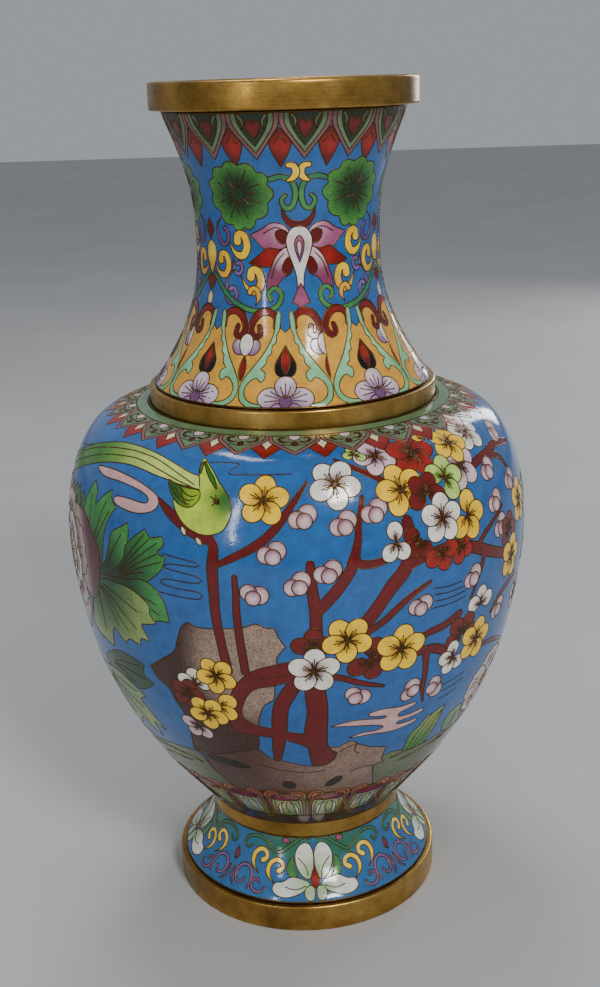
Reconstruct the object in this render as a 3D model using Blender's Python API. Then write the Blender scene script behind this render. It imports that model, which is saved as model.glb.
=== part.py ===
"""Cloisonne vase: spun copper body under wired enamel, trimmed with four brass rings.

Metres, +Z up, origin at the middle of the foot's resting face.  Every layer of the neck,
the body and the foot is a shell that follows one outer line at a fixed depth below it, so
the enamel, the copper and the counter-enamel stay parallel all the way down.
"""

import math

import bpy
import numpy as np

MM = 0.001
SEGMENTS = 32
GAP = 0.3
CREASE = math.radians(32.0)

# Heights of the brass trim, in millimetres above the foot's resting face.
TOTAL_HEIGHT = 256.0
MOUTH_RING_BOTTOM = 248.2
COLLAR_TOP = 168.9
WAIST_TOP = 32.2
WAIST_BOTTOM = 26.4
FOOT_RING_TOP = 8.6

# Outer radii of the brass trim.
MOUTH_RING_RADIUS = 38.9
COLLAR_RADIUS = 43.5
WAIST_RADIUS = 31.3
FOOT_RING_RADIUS = 43.0

# Layers, as depths below the finished enamel surface.
ENAMEL = 1.0
COPPER = 1.2
LINING = 0.5
COPPER_TOP = ENAMEL + GAP
COPPER_UNDER = COPPER_TOP + COPPER
LINING_TOP = COPPER_UNDER + GAP
LINING_UNDER = LINING_TOP + LINING

# Border wires: flat brass wire set on edge, a hair proud of the polished enamel.
WIRE_WIDTH = 0.5
WIRE_PROUD = 0.05

# Formed brass sheet of the mouth and foot rings.
SHEET = 1.6
CORNER = 0.7

# Outer lines, (radius, height), from the top down.  The ends run on under the brass rings.
NECK_LINE = ((36.2, 253.2), (35.5, 248.2), (31.7, 238.0), (28.3, 226.5), (27.1, 213.0),
             (27.9, 199.0), (32.0, 185.8), (38.6, 174.0), (42.1, 168.6), (42.4, 162.6))
BODY_LINE = ((38.5, 163.9), (44.5, 163.6), (52.5, 162.0), (60.7, 157.8), (66.6, 149.0),
             (70.2, 136.0), (71.0, 123.5), (69.6, 108.0), (65.4, 88.0), (58.6, 70.5),
             (48.2, 52.5), (38.6, 40.0), (32.7, WAIST_TOP))
FOOT_LINE = ((30.3, 30.2), (30.5, 26.0), (32.4, 20.5), (36.4, 14.4), (41.2, 9.0),
             (42.0, 5.6), (42.0, 1.9))

# The spun body: where the two bowls are brazed, how its bottom is closed, and the
# upturned lip of the shoulder that the neck slips over.
BODY_SEAM_HEIGHT = 123.5
BOWL_FLAT_HEIGHT = 30.5
BOWL_FLAT_RADIUS = 27.5
LIP_RADIUS = 39.2
LIP_TOP = 167.4

# Plain strips at the top and the bottom of the body that a ring of wire closes off.
SHOULDER_STRIP_LENGTH = 2.8
HEM_STRIP_LENGTH = 6.0

# The flange brazed under the bowl, the turned-in sheet the vase stands on, and how far
# the waist ring's sloped top drops towards the bowl.
FOOT_FLANGE_RADIUS = 24.0
FOOT_LEDGE_RADIUS = 37.6
WAIST_SLOPE_DROP = 2.1

COPPER_FINISH = ((0.44, 0.19, 0.10), 0.38, 1.0)
BRASS_FINISH = ((0.52, 0.34, 0.13), 0.30, 1.0)
FINISHES = {
    "mouth_ring": BRASS_FINISH,
    "collar_ring": BRASS_FINISH,
    "waist_ring": BRASS_FINISH,
    "foot_ring": BRASS_FINISH,
    "neck_core": COPPER_FINISH,
    "shoulder_core": COPPER_FINISH,
    "bowl_core": COPPER_FINISH,
    "foot_core": COPPER_FINISH,
    "neck_enamel": ((0.07, 0.16, 0.36), 0.22, 0.0),
    "shoulder_strip_enamel": ((0.16, 0.33, 0.20), 0.22, 0.0),
    "body_enamel": ((0.05, 0.16, 0.36), 0.22, 0.0),
    "hem_strip_enamel": ((0.16, 0.05, 0.03), 0.22, 0.0),
    "foot_enamel": ((0.07, 0.19, 0.38), 0.22, 0.0),
    "neck_lining": ((0.05, 0.30, 0.38), 0.30, 0.0),
    "body_lining": ((0.05, 0.30, 0.38), 0.30, 0.0),
    "foot_lining": ((0.03, 0.09, 0.22), 0.30, 0.0),
    "base_enamel": ((0.03, 0.09, 0.22), 0.30, 0.0),
}


class OuterLine:
    """The turned outline of one spun part, as a chain of short straight runs.

    A smooth line goes through the stations, and the chain's joints lie on it, closer
    together where it bends.  All layers use the same joints, so they stay parallel.
    """

    FINE_STEPS = 24
    LONGEST_RUN = 24.0
    SHARPEST_BEND = math.radians(24.0)

    def __init__(self, stations):
        fine = self._smooth(np.array(stations, dtype=float))
        runs = np.diff(fine, axis=0)
        lengths = np.linalg.norm(runs, axis=1)
        bends = np.abs(np.diff(np.unwrap(np.arctan2(runs[:, 1], runs[:, 0]))))
        effort = np.concatenate([[0.0], np.cumsum(
            lengths / self.LONGEST_RUN + np.append(bends, 0.0) / self.SHARPEST_BEND)])
        marks = np.linspace(0.0, effort[-1], math.ceil(effort[-1]) + 1)
        self.joints = np.column_stack([np.interp(marks, effort, fine[:, i]) for i in (0, 1)])
        self.runs = np.diff(self.joints, axis=0)
        self.travel = np.concatenate([[0.0], np.cumsum(np.linalg.norm(self.runs, axis=1))])
        self.runs /= np.linalg.norm(self.runs, axis=1)[:, None]
        self.length = float(self.travel[-1])

    def _smooth(self, stations):
        """Centripetal Catmull-Rom line through the stations, in many small steps."""
        padded = np.vstack([2 * stations[0] - stations[1], stations,
                            2 * stations[-1] - stations[-2]])
        points = []
        for four in (padded[i:i + 4] for i in range(len(stations) - 1)):
            gaps = np.sqrt(np.linalg.norm(np.diff(four, axis=0), axis=1))
            knots = np.concatenate([[0.0], np.cumsum(gaps)])
            for place in np.linspace(knots[1], knots[2], self.FINE_STEPS, endpoint=False):
                points.append(self._blend(four, knots, place))
        return np.vstack(points + [stations[-1]])

    @staticmethod
    def _blend(four, knots, place):
        """The Catmull-Rom point at one place between the middle two of four knots."""
        def mix(start, end, first, second):
            return ((end - place) * first + (place - start) * second) / (end - start)

        first, second, third = (mix(knots[i], knots[i + 1], four[i], four[i + 1])
                                for i in range(3))
        lower = mix(knots[0], knots[2], first, second)
        upper = mix(knots[1], knots[3], second, third)
        return mix(knots[1], knots[2], lower, upper)

    def distance_at_height(self, height):
        """How far down the line its height is reached."""
        return float(np.interp(-height, -self.joints[:, 1], self.travel))

    def distance_at_radius(self, radius):
        """How far down the widening top of the line a radius is reached."""
        widest = int(np.argmax(self.joints[:, 0])) + 1
        return float(np.interp(radius, self.joints[:widest, 0], self.travel[:widest]))

    def _joint_below(self, index, depth):
        """Where the runs on both sides of a joint meet, a depth under the line."""
        before = self.runs[max(index - 1, 0)]
        after = self.runs[min(index, len(self.runs) - 1)]
        middle = (before + after) / np.linalg.norm(before + after)
        normal = np.array([-middle[1], middle[0]])
        return self.joints[index] - depth / float(middle @ before) * normal

    def below(self, distance, depth):
        """The point that lies a depth under the line, at a distance down it."""
        run = int(np.clip(np.searchsorted(self.travel, distance) - 1, 0, len(self.runs) - 1))
        share = (distance - self.travel[run]) / (self.travel[run + 1] - self.travel[run])
        start = self._joint_below(run, depth)
        end = self._joint_below(run + 1, depth)
        return tuple((1.0 - share) * start + share * end)

    def side(self, top, bottom, depth):
        """Corners of the line a depth below it, from one distance to another."""
        between = [self.travel[i] for i in range(1, len(self.runs))
                   if top < self.travel[i] < bottom]
        return [self.below(distance, depth) for distance in (top, *between, bottom)]


def shell(line, top, bottom, outer_depth, inner_depth):
    """Outline of a layer between two depths: down the outside, up the inside."""
    return line.side(top, bottom, outer_depth) + line.side(top, bottom, inner_depth)[::-1]


def rounded(outline, corners, radius, steps=2):
    """The outline with the numbered corners turned into short arcs."""
    result = []
    for index, corner in enumerate(outline):
        if index not in corners:
            result.append(corner)
            continue
        here = np.array(corner)
        before = np.array(outline[index - 1]) - here
        after = np.array(outline[(index + 1) % len(outline)]) - here
        start = here + before / np.linalg.norm(before) * radius
        end = here + after / np.linalg.norm(after) * radius
        for step in range(steps + 1):
            share = step / steps
            bent = (1 - share) ** 2 * start + 2 * share * (1 - share) * here + share ** 2 * end
            result.append(tuple(bent))
    return result


def clear_scene():
    for item in list(bpy.data.objects):
        bpy.data.objects.remove(item, do_unlink=True)


def finish(name):
    """The piece's own plain material."""
    colour, roughness, metallic = FINISHES.get(name, BRASS_FINISH)
    material = bpy.data.materials.new(name + "_finish")
    material.use_nodes = True
    shader = material.node_tree.nodes["Principled BSDF"]
    shader.inputs["Base Color"].default_value = (*colour, 1.0)
    shader.inputs["Roughness"].default_value = roughness
    shader.inputs["Metallic"].default_value = metallic
    material.diffuse_color = (*colour, 1.0)
    return material


def turn(name, outline, closed=True):
    """Spin an outline of (radius, height) points about the vase's axis into one piece."""
    mesh = bpy.data.meshes.new(name)
    points = [(radius * MM, 0.0, height * MM) for radius, height in outline]
    edges = [(i, i + 1) for i in range(len(points) - 1)]
    if closed:
        edges.append((len(points) - 1, 0))
    mesh.from_pydata(points, edges, [])
    piece = bpy.data.objects.new(name, mesh)
    bpy.context.collection.objects.link(piece)
    screw = piece.modifiers.new("Turn", "SCREW")
    screw.axis = "Z"
    screw.angle = math.tau
    screw.steps = SEGMENTS
    screw.render_steps = SEGMENTS
    screw.use_merge_vertices = True
    screw.merge_threshold = 0.00002
    settle(piece)
    return piece


def settle(piece):
    """Keep the turned mesh itself, shaded smooth with its corners sharp."""
    view = bpy.context.evaluated_depsgraph_get()
    turned = bpy.data.meshes.new_from_object(piece.evaluated_get(view))
    turned.name = piece.name
    piece.modifiers.clear()
    piece.data = turned
    turned.shade_smooth()
    turned.set_sharp_from_angle(angle=CREASE)
    turned.materials.clear()
    turned.materials.append(finish(piece.name))


def border_wire(name, line, top):
    """A ring of wire on edge, whose upper side is at a distance down the line."""
    turn(name, shell(line, top, top + WIRE_WIDTH, -WIRE_PROUD, ENAMEL))


def build_mouth_ring(neck):
    """A channel of formed sheet, open inwards, that caps the top edge of the neck."""
    outer = MOUTH_RING_RADIUS
    wall = outer - SHEET
    top = TOTAL_HEIGHT
    bottom = MOUTH_RING_BOTTOM
    throat = neck.below(0.0, LINING_UNDER)[0] - GAP
    lip = neck.below(neck.distance_at_height(bottom + SHEET), COPPER_TOP)[0] + GAP
    outline = [(throat, top), (outer, top), (outer, bottom), (lip, bottom),
               (lip, bottom + SHEET), (wall, bottom + SHEET), (wall, top - SHEET),
               (throat, top - SHEET)]
    turn("mouth_ring", rounded(outline, (0, 1, 2), CORNER))


def build_neck(neck):
    """Copper sleeve, enamel outside it, counter-enamel inside, and two border wires."""
    turn("neck_core", shell(neck, 0.0, neck.length, COPPER_TOP, COPPER_UNDER))
    lining_end = neck.distance_at_height(LIP_TOP + LINING_UNDER - GAP)
    turn("neck_lining", shell(neck, 0.0, lining_end, LINING_TOP, LINING_UNDER))
    upper_wire = neck.distance_at_height(MOUTH_RING_BOTTOM) + GAP
    lower_wire = neck.distance_at_height(COLLAR_TOP) - GAP - WIRE_WIDTH
    border_wire("neck_upper_wire", neck, upper_wire)
    border_wire("neck_lower_wire", neck, lower_wire)
    field_top = upper_wire + WIRE_WIDTH + GAP
    turn("neck_enamel", shell(neck, field_top, lower_wire - GAP, 0.0, ENAMEL))


def build_collar_ring(neck, body):
    """Solid ring in the angle between the neck and the shoulder."""
    sleeve = neck.side(neck.distance_at_height(COLLAR_TOP), neck.length, COPPER_TOP)
    bore = max(radius for radius, height in sleeve) + GAP
    bottom = body.below(body.distance_at_radius(bore), COPPER_TOP)[1] + GAP
    outline = [(bore, COLLAR_TOP), (COLLAR_RADIUS, COLLAR_TOP), (COLLAR_RADIUS, bottom),
               (bore, bottom)]
    turn("collar_ring", rounded(outline, (1,), CORNER))


def build_body(body):
    """Two spun copper bowls brazed at the widest point, with enamel on both faces."""
    seam = body.distance_at_height(BODY_SEAM_HEIGHT)
    brow = body.distance_at_radius(LIP_RADIUS + COPPER)
    outside = body.side(brow, seam - GAP / 2, COPPER_TOP)
    inside = body.side(brow, seam - GAP / 2, COPPER_UNDER)
    lip_inner = LIP_RADIUS - COPPER
    turn("shoulder_core",
         [(LIP_RADIUS, LIP_TOP), (LIP_RADIUS, outside[0][1])] + outside + inside[::-1]
         + [(lip_inner, inside[0][1]), (lip_inner, LIP_TOP)])

    outside = body.side(seam + GAP / 2, body.length, COPPER_TOP)
    inside = body.side(seam + GAP / 2, body.length - COPPER, COPPER_UNDER)
    floor_top = BOWL_FLAT_HEIGHT + COPPER
    turn("bowl_core",
         [(0.0, floor_top), (BOWL_FLAT_RADIUS, floor_top)] + inside[::-1] + outside
         + [(BOWL_FLAT_RADIUS, BOWL_FLAT_HEIGHT), (0.0, BOWL_FLAT_HEIGHT)],
         closed=False)

    face = body.side(brow, body.length - COPPER - LINING, LINING_TOP)
    back = body.side(brow, body.length - COPPER - 2 * LINING, LINING_UNDER)
    lining_floor = floor_top + GAP
    turn("body_lining",
         [(0.0, lining_floor + LINING), (BOWL_FLAT_RADIUS - LINING, lining_floor + LINING)]
         + back[::-1] + face
         + [(BOWL_FLAT_RADIUS - LINING / 2, lining_floor), (0.0, lining_floor)],
         closed=False)

    upper_wire = body.distance_at_radius(COLLAR_RADIUS + GAP)
    strip_top = upper_wire + WIRE_WIDTH + GAP
    strip_wire = strip_top + SHOULDER_STRIP_LENGTH + GAP
    lower_wire = body.length - WIRE_WIDTH
    hem_wire = lower_wire - GAP - HEM_STRIP_LENGTH - GAP - WIRE_WIDTH
    border_wire("body_upper_wire", body, upper_wire)
    border_wire("shoulder_strip_wire", body, strip_wire)
    border_wire("hem_strip_wire", body, hem_wire)
    border_wire("body_lower_wire", body, lower_wire)
    turn("shoulder_strip_enamel", shell(body, strip_top, strip_wire - GAP, 0.0, ENAMEL))
    turn("body_enamel",
         shell(body, strip_wire + WIRE_WIDTH + GAP, hem_wire - GAP, 0.0, ENAMEL))
    turn("hem_strip_enamel",
         shell(body, hem_wire + WIRE_WIDTH + GAP, lower_wire - GAP, 0.0, ENAMEL))


def build_waist_ring():
    """Ring that hides the braze between the bowl and the foot."""
    bore = FOOT_LINE[0][0] - COPPER_TOP + GAP
    outline = [(bore, WAIST_TOP - WAIST_SLOPE_DROP), (WAIST_RADIUS, WAIST_TOP),
               (WAIST_RADIUS, WAIST_BOTTOM), (bore, WAIST_BOTTOM)]
    turn("waist_ring", rounded(outline, (1, 2), CORNER))


def build_foot(foot):
    """Flared copper skirt with an inner flange brazed under the bowl, enamelled outside
    and inside, and a disc of counter-enamel on the bottom of the bowl."""
    outside = foot.side(0.0, foot.length, COPPER_TOP)
    inside = foot.side(COPPER, foot.length, COPPER_UNDER)
    flange_top = outside[0][1]
    flange_under = flange_top - COPPER
    turn("foot_core",
         outside + inside[::-1] + [(FOOT_FLANGE_RADIUS, flange_under),
                                   (FOOT_FLANGE_RADIUS, flange_top)])

    ledge = foot.distance_at_height(FOOT_RING_TOP) - GAP
    face = foot.side(COPPER + GAP, ledge, LINING_TOP)
    back = foot.side(COPPER + GAP + LINING, ledge, LINING_UNDER)
    turn("foot_lining",
         face + back[::-1] + [(FOOT_FLANGE_RADIUS, flange_under - GAP - LINING),
                              (FOOT_FLANGE_RADIUS, flange_under - GAP)])

    upper_wire = foot.distance_at_height(WAIST_BOTTOM) + GAP
    lower_wire = foot.distance_at_height(FOOT_RING_TOP) - GAP - WIRE_WIDTH
    border_wire("foot_upper_wire", foot, upper_wire)
    border_wire("foot_lower_wire", foot, lower_wire)
    field_top = upper_wire + WIRE_WIDTH + GAP
    turn("foot_enamel", shell(foot, field_top, lower_wire - GAP, 0.0, ENAMEL))

    disc_radius = FOOT_FLANGE_RADIUS - GAP
    disc_top = BOWL_FLAT_HEIGHT - GAP
    turn("base_enamel",
         [(0.0, disc_top), (disc_radius, disc_top), (disc_radius, disc_top - ENAMEL),
          (0.0, disc_top - ENAMEL)], closed=False)


def build_foot_ring():
    """Band of formed sheet round the skirt, turned in at the bottom to stand on."""
    outer = FOOT_RING_RADIUS
    wall = FOOT_LINE[-1][0] - COPPER_TOP + GAP
    outline = [(wall, FOOT_RING_TOP), (outer, FOOT_RING_TOP), (outer, 0.0),
               (FOOT_LEDGE_RADIUS, 0.0), (FOOT_LEDGE_RADIUS, SHEET), (wall, SHEET)]
    turn("foot_ring", rounded(outline, (1,), CORNER))


def main():
    clear_scene()
    neck = OuterLine(NECK_LINE)
    body = OuterLine(BODY_LINE)
    foot = OuterLine(FOOT_LINE)
    build_mouth_ring(neck)
    build_neck(neck)
    build_collar_ring(neck, body)
    build_body(body)
    build_waist_ring()
    build_foot(foot)
    build_foot_ring()


main()
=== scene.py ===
"""Cloisonne vase: its looks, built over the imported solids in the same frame.

Metres, +Z up, the front of the decoration towards -Y.  Places on an enamelled face are
(degrees round from the front, millimetres down the outer line from its top).
"""

import math
from collections import namedtuple

import bpy
import numpy as np
from mathutils import Matrix, Vector
from mathutils.geometry import delaunay_2d_cdt


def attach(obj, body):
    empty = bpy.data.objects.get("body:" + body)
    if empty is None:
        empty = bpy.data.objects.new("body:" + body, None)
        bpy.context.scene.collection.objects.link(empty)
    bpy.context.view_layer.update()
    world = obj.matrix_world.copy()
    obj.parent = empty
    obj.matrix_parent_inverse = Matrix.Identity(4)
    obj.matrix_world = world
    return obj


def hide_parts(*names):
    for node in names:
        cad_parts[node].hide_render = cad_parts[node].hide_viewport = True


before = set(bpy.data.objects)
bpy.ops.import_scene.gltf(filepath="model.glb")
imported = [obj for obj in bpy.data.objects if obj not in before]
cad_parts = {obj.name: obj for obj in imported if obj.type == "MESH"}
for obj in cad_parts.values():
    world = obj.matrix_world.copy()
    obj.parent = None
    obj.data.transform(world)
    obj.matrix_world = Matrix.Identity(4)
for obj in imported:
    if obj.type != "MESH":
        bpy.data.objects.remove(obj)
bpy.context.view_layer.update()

MM = 0.001
DEGREE = math.pi / 180.0

# Camera: how far in front of the axis and how high, how it is turned, and its lens.
CAMERA_BACK = 0.3906
CAMERA_HEIGHT = 0.25794
CAMERA_PITCH = 0.3143
CAMERA_YAW = 0.0031
CAMERA_ROLL = -0.0307
CAMERA_LENS = 47.49


def make_camera():
    """The camera at the photo's angle, pitched down, with a slight roll."""
    data = bpy.data.cameras.new("Camera")
    data.lens = CAMERA_LENS
    data.sensor_width = 36.0
    data.clip_start = 0.01
    data.clip_end = 20.0
    camera = bpy.data.objects.new("Camera", data)
    bpy.context.collection.objects.link(camera)
    down, turn = CAMERA_PITCH, CAMERA_YAW
    ahead = Vector((math.sin(turn) * math.cos(down), math.cos(turn) * math.cos(down),
                    -math.sin(down)))
    level = Vector((math.cos(turn), -math.sin(turn), 0.0))
    above = level.cross(ahead)
    right = math.cos(CAMERA_ROLL) * level + math.sin(CAMERA_ROLL) * above
    up = math.cos(CAMERA_ROLL) * above - math.sin(CAMERA_ROLL) * level
    camera.matrix_world = Matrix((
        (right.x, up.x, -ahead.x, 0.0),
        (right.y, up.y, -ahead.y, -CAMERA_BACK),
        (right.z, up.z, -ahead.z, CAMERA_HEIGHT),
        (0.0, 0.0, 0.0, 1.0)))
    bpy.context.scene.camera = camera


make_camera()

# ---------------------------------------------------------------- the turned outlines

# Millimetres, as in the CAD: heights, radii, and depths under the outer line.
GAP = 0.3
TOTAL_HEIGHT = 256.0
MOUTH_RING_BOTTOM = 248.2
COLLAR_TOP = 168.9
WAIST_TOP = 32.2
WAIST_BOTTOM = 26.4
WAIST_SLOPE_DROP = 2.1
FOOT_RING_TOP = 8.6
MOUTH_RING_RADIUS = 38.9
COLLAR_RADIUS = 43.5
WAIST_RADIUS = 31.3
FOOT_RING_RADIUS = 43.0
FOOT_LEDGE_RADIUS = 37.6
FOOT_FLANGE_RADIUS = 24.0
BOWL_FLAT_HEIGHT = 30.5
BOWL_FLAT_RADIUS = 27.5
COLLAR_SUNK = 0.9
LIP_TOP = 167.4
LIP_RADIUS = 39.2
SHEET = 1.6
COPPER = 1.2
LINING = 0.5
ENAMEL_DEPTH = 1.0
COPPER_TOP = 1.3
LINING_TOP = 2.8
LINING_UNDER = 3.3
RING_WIRE = 0.5
RING_WIRE_PROUD = 0.07
WIRE_ROUND = 0.12

# (radius, height) stations of the outer lines, from the top down.
NECK_LINE = ((36.2, 253.2), (35.5, 248.2), (31.7, 238.0), (28.3, 226.5), (27.1, 213.0),
             (27.9, 199.0), (32.0, 185.8), (38.6, 174.0), (42.1, 168.6), (42.4, 162.6))
BODY_LINE = ((38.5, 163.9), (44.5, 163.6), (52.5, 162.0), (60.7, 157.8), (66.6, 149.0),
             (70.2, 136.0), (71.0, 123.5), (69.6, 108.0), (65.4, 88.0), (58.6, 70.5),
             (48.2, 52.5), (38.6, 40.0), (32.7, WAIST_TOP))
FOOT_LINE = ((30.3, 30.2), (30.5, 26.0), (32.4, 20.5), (36.4, 14.4), (41.2, 9.0),
             (42.0, 5.6), (42.0, 1.9))

SHOULDER_STRIP = 2.8
HEM_STRIP = 6.0


# Points between two stations of a drawn line and of an outer line, and the millimetres
# between the points of a turned face.
SPLINE_STEPS = 10
OUTLINE_STEPS = 40
SIDE_STEP = 2.5


def spline(points, closed, step):
    """Even steps along a smooth line through the points."""
    points = np.asarray(points, dtype=float)
    if len(points) == 2 and not closed:
        fine = points
    else:
        if closed:
            padded = np.vstack([points[-1], points, points[:2]])
        else:
            padded = np.vstack([2 * points[0] - points[1], points, 2 * points[-1] - points[-2]])
        t = np.linspace(0.0, 1.0, SPLINE_STEPS, endpoint=False)[None, :, None]
        a, b, c, d = (padded[i:len(padded) - 3 + i, None, :] for i in range(4))
        fine = 0.5 * (2 * b + (c - a) * t + (2 * a - 5 * b + 4 * c - d) * t ** 2
                      + (3 * b - a - 3 * c + d) * t ** 3)
        fine = fine.reshape(-1, 2)
        fine = np.vstack([fine, points[:1] if closed else points[-1:]])
    travel = np.concatenate([[0.0], np.cumsum(np.hypot(*np.diff(fine, axis=0).T))])
    count = max(2, math.ceil(travel[-1] / step) + 1)
    marks = np.linspace(0.0, travel[-1], count)
    even = np.column_stack([np.interp(marks, travel, fine[:, i]) for i in (0, 1)])
    return even[:-1] if closed else even


class Skin:
    """The smooth outer face of one turned part."""

    def __init__(self, stations):
        line = self._through(np.array(stations, dtype=float))
        self.radii, self.heights = line.T
        self.travel = np.concatenate([[0.0], np.cumsum(np.hypot(*np.diff(line, axis=0).T))])
        slope = np.gradient(line, self.travel, axis=0)
        slope /= np.linalg.norm(slope, axis=1)[:, None]
        self.out_r, self.out_z = -slope[:, 1], slope[:, 0]
        self.length = float(self.travel[-1])

    @staticmethod
    def _through(stations):
        """Many points along the centripetal Catmull-Rom line through the stations."""
        padded = np.vstack([2 * stations[0] - stations[1], stations,
                            2 * stations[-1] - stations[-2]])
        points = []
        for four in (padded[i:i + 4] for i in range(len(stations) - 1)):
            gaps = np.sqrt(np.linalg.norm(np.diff(four, axis=0), axis=1))
            knots = np.concatenate([[0.0], np.cumsum(gaps)])
            t = np.linspace(knots[1], knots[2], OUTLINE_STEPS, endpoint=False)[:, None]

            def mix(start, end, first, second):
                return ((end - t) * first + (t - start) * second) / (end - start)

            low, middle, high = (mix(knots[i], knots[i + 1], four[i], four[i + 1])
                                 for i in range(3))
            points.append(mix(knots[1], knots[2], mix(knots[0], knots[2], low, middle),
                              mix(knots[1], knots[3], middle, high)))
        return np.vstack(points + [stations[-1:]])

    def radius(self, down):
        return np.interp(down, self.travel, self.radii)

    def per_degree(self, down):
        """Millimetres to a degree round, at a distance down the line."""
        return self.radius(down) * DEGREE

    def at_height(self, height):
        return float(np.interp(-height, -self.heights, self.travel))

    def at_radius(self, radius):
        widest = int(np.argmax(self.radii)) + 1
        return float(np.interp(radius, self.radii[:widest], self.travel[:widest]))

    def outward(self, places):
        places = np.asarray(places, dtype=float)
        turn = places[:, 0] * DEGREE
        out_r = np.interp(places[:, 1], self.travel, self.out_r)
        out_z = np.interp(places[:, 1], self.travel, self.out_z)
        normals = np.column_stack([out_r * np.sin(turn), -out_r * np.cos(turn), out_z])
        return normals / np.linalg.norm(normals, axis=1)[:, None]

    def points(self, places, lift=0.0):
        """Points over the face, in metres, a lift in millimetres off it."""
        places = np.asarray(places, dtype=float)
        turn = places[:, 0] * DEGREE
        r = self.radius(places[:, 1])
        z = np.interp(places[:, 1], self.travel, self.heights)
        surface = np.column_stack([r * np.sin(turn), -r * np.cos(turn), z])
        return (surface + np.asarray(lift).reshape(-1, 1) * self.outward(places)) * MM

    def side(self, top, bottom, depth):
        """(radius, height) points at a depth under the face, from one distance to another."""
        marks = np.linspace(top, bottom, max(2, math.ceil((bottom - top) / SIDE_STEP) + 1))
        r = self.radius(marks) - depth * np.interp(marks, self.travel, self.out_r)
        z = (np.interp(marks, self.travel, self.heights)
             - depth * np.interp(marks, self.travel, self.out_z))
        return [tuple(point) for point in np.column_stack([r, z])]


NECK = Skin(NECK_LINE)
BODY = Skin(BODY_LINE)
FOOT = Skin(FOOT_LINE)

# ---------------------------------------------------------------- colours and materials


def hue(code):
    """A linear colour from six hexadecimal digits of display colour."""
    display = [int(code[i:i + 2], 16) / 255 for i in (0, 2, 4)]
    return tuple(v / 12.92 if v <= 0.04045 else ((v + 0.055) / 1.055) ** 2.4 for v in display)


BLUE = hue("2A62A2")
AMBER = hue("DAA03A")
MINT = hue("78BC86")
YELLOW = hue("FFCF2C")
PALE_YELLOW = hue("F8D656")
CREAM = hue("E6D8B0")
WHITE = hue("EEE9DC")
LILAC_WHITE = hue("D9C6D0")
LILAC = hue("8C6090")
PINK = hue("A4587A")
ROSE = hue("863A5C")
PALE_PINK = hue("D8BCBE")
MAUVE = hue("6C4A8C")
RED = hue("841A14")
BRIGHT_RED = hue("9C2218")
DARK_RED = hue("64120F")
WOOD = hue("681413")
MAROON = hue("4A141A")
BLACK = hue("060404")
GREEN = hue("3A8240")
LEAF = hue("46904A")
DEEP_LEAF = hue("0D3518")
PALE_LEAF = hue("98B060")
STEM = hue("2E7A52")
# Dark green under the mouth ring, darkened in part as painted shadow of the ring.
BORDER_GREEN_AND_RING_SHADOW = hue("1E301C")
STRIP_GREEN = hue("5C7E58")
LAPPET_GREEN = hue("647F5E")
LAPPET_PINK = hue("84585A")
BIRD = hue("8CB024")
BIRD_PALE = hue("BCD444")
BIRD_DARK = hue("2F6C20")
ROCK = hue("98806E")
ROCK_DARK = hue("42221C")
HILL = hue("6A7452")
HILL_DARK = hue("48533A")
# Dark brown at the foot of the body, partly painted shade of the gap above the waist ring.
HEM_BROWN_AND_GAP_SHADE = hue("4A1E10")
PEONY = hue("C8ACA0")
PEONY_PALE = hue("DCC8BC")
FOOT_WHITE = hue("E6E6DA")
FOOT_GREEN = hue("A4C490")


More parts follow.
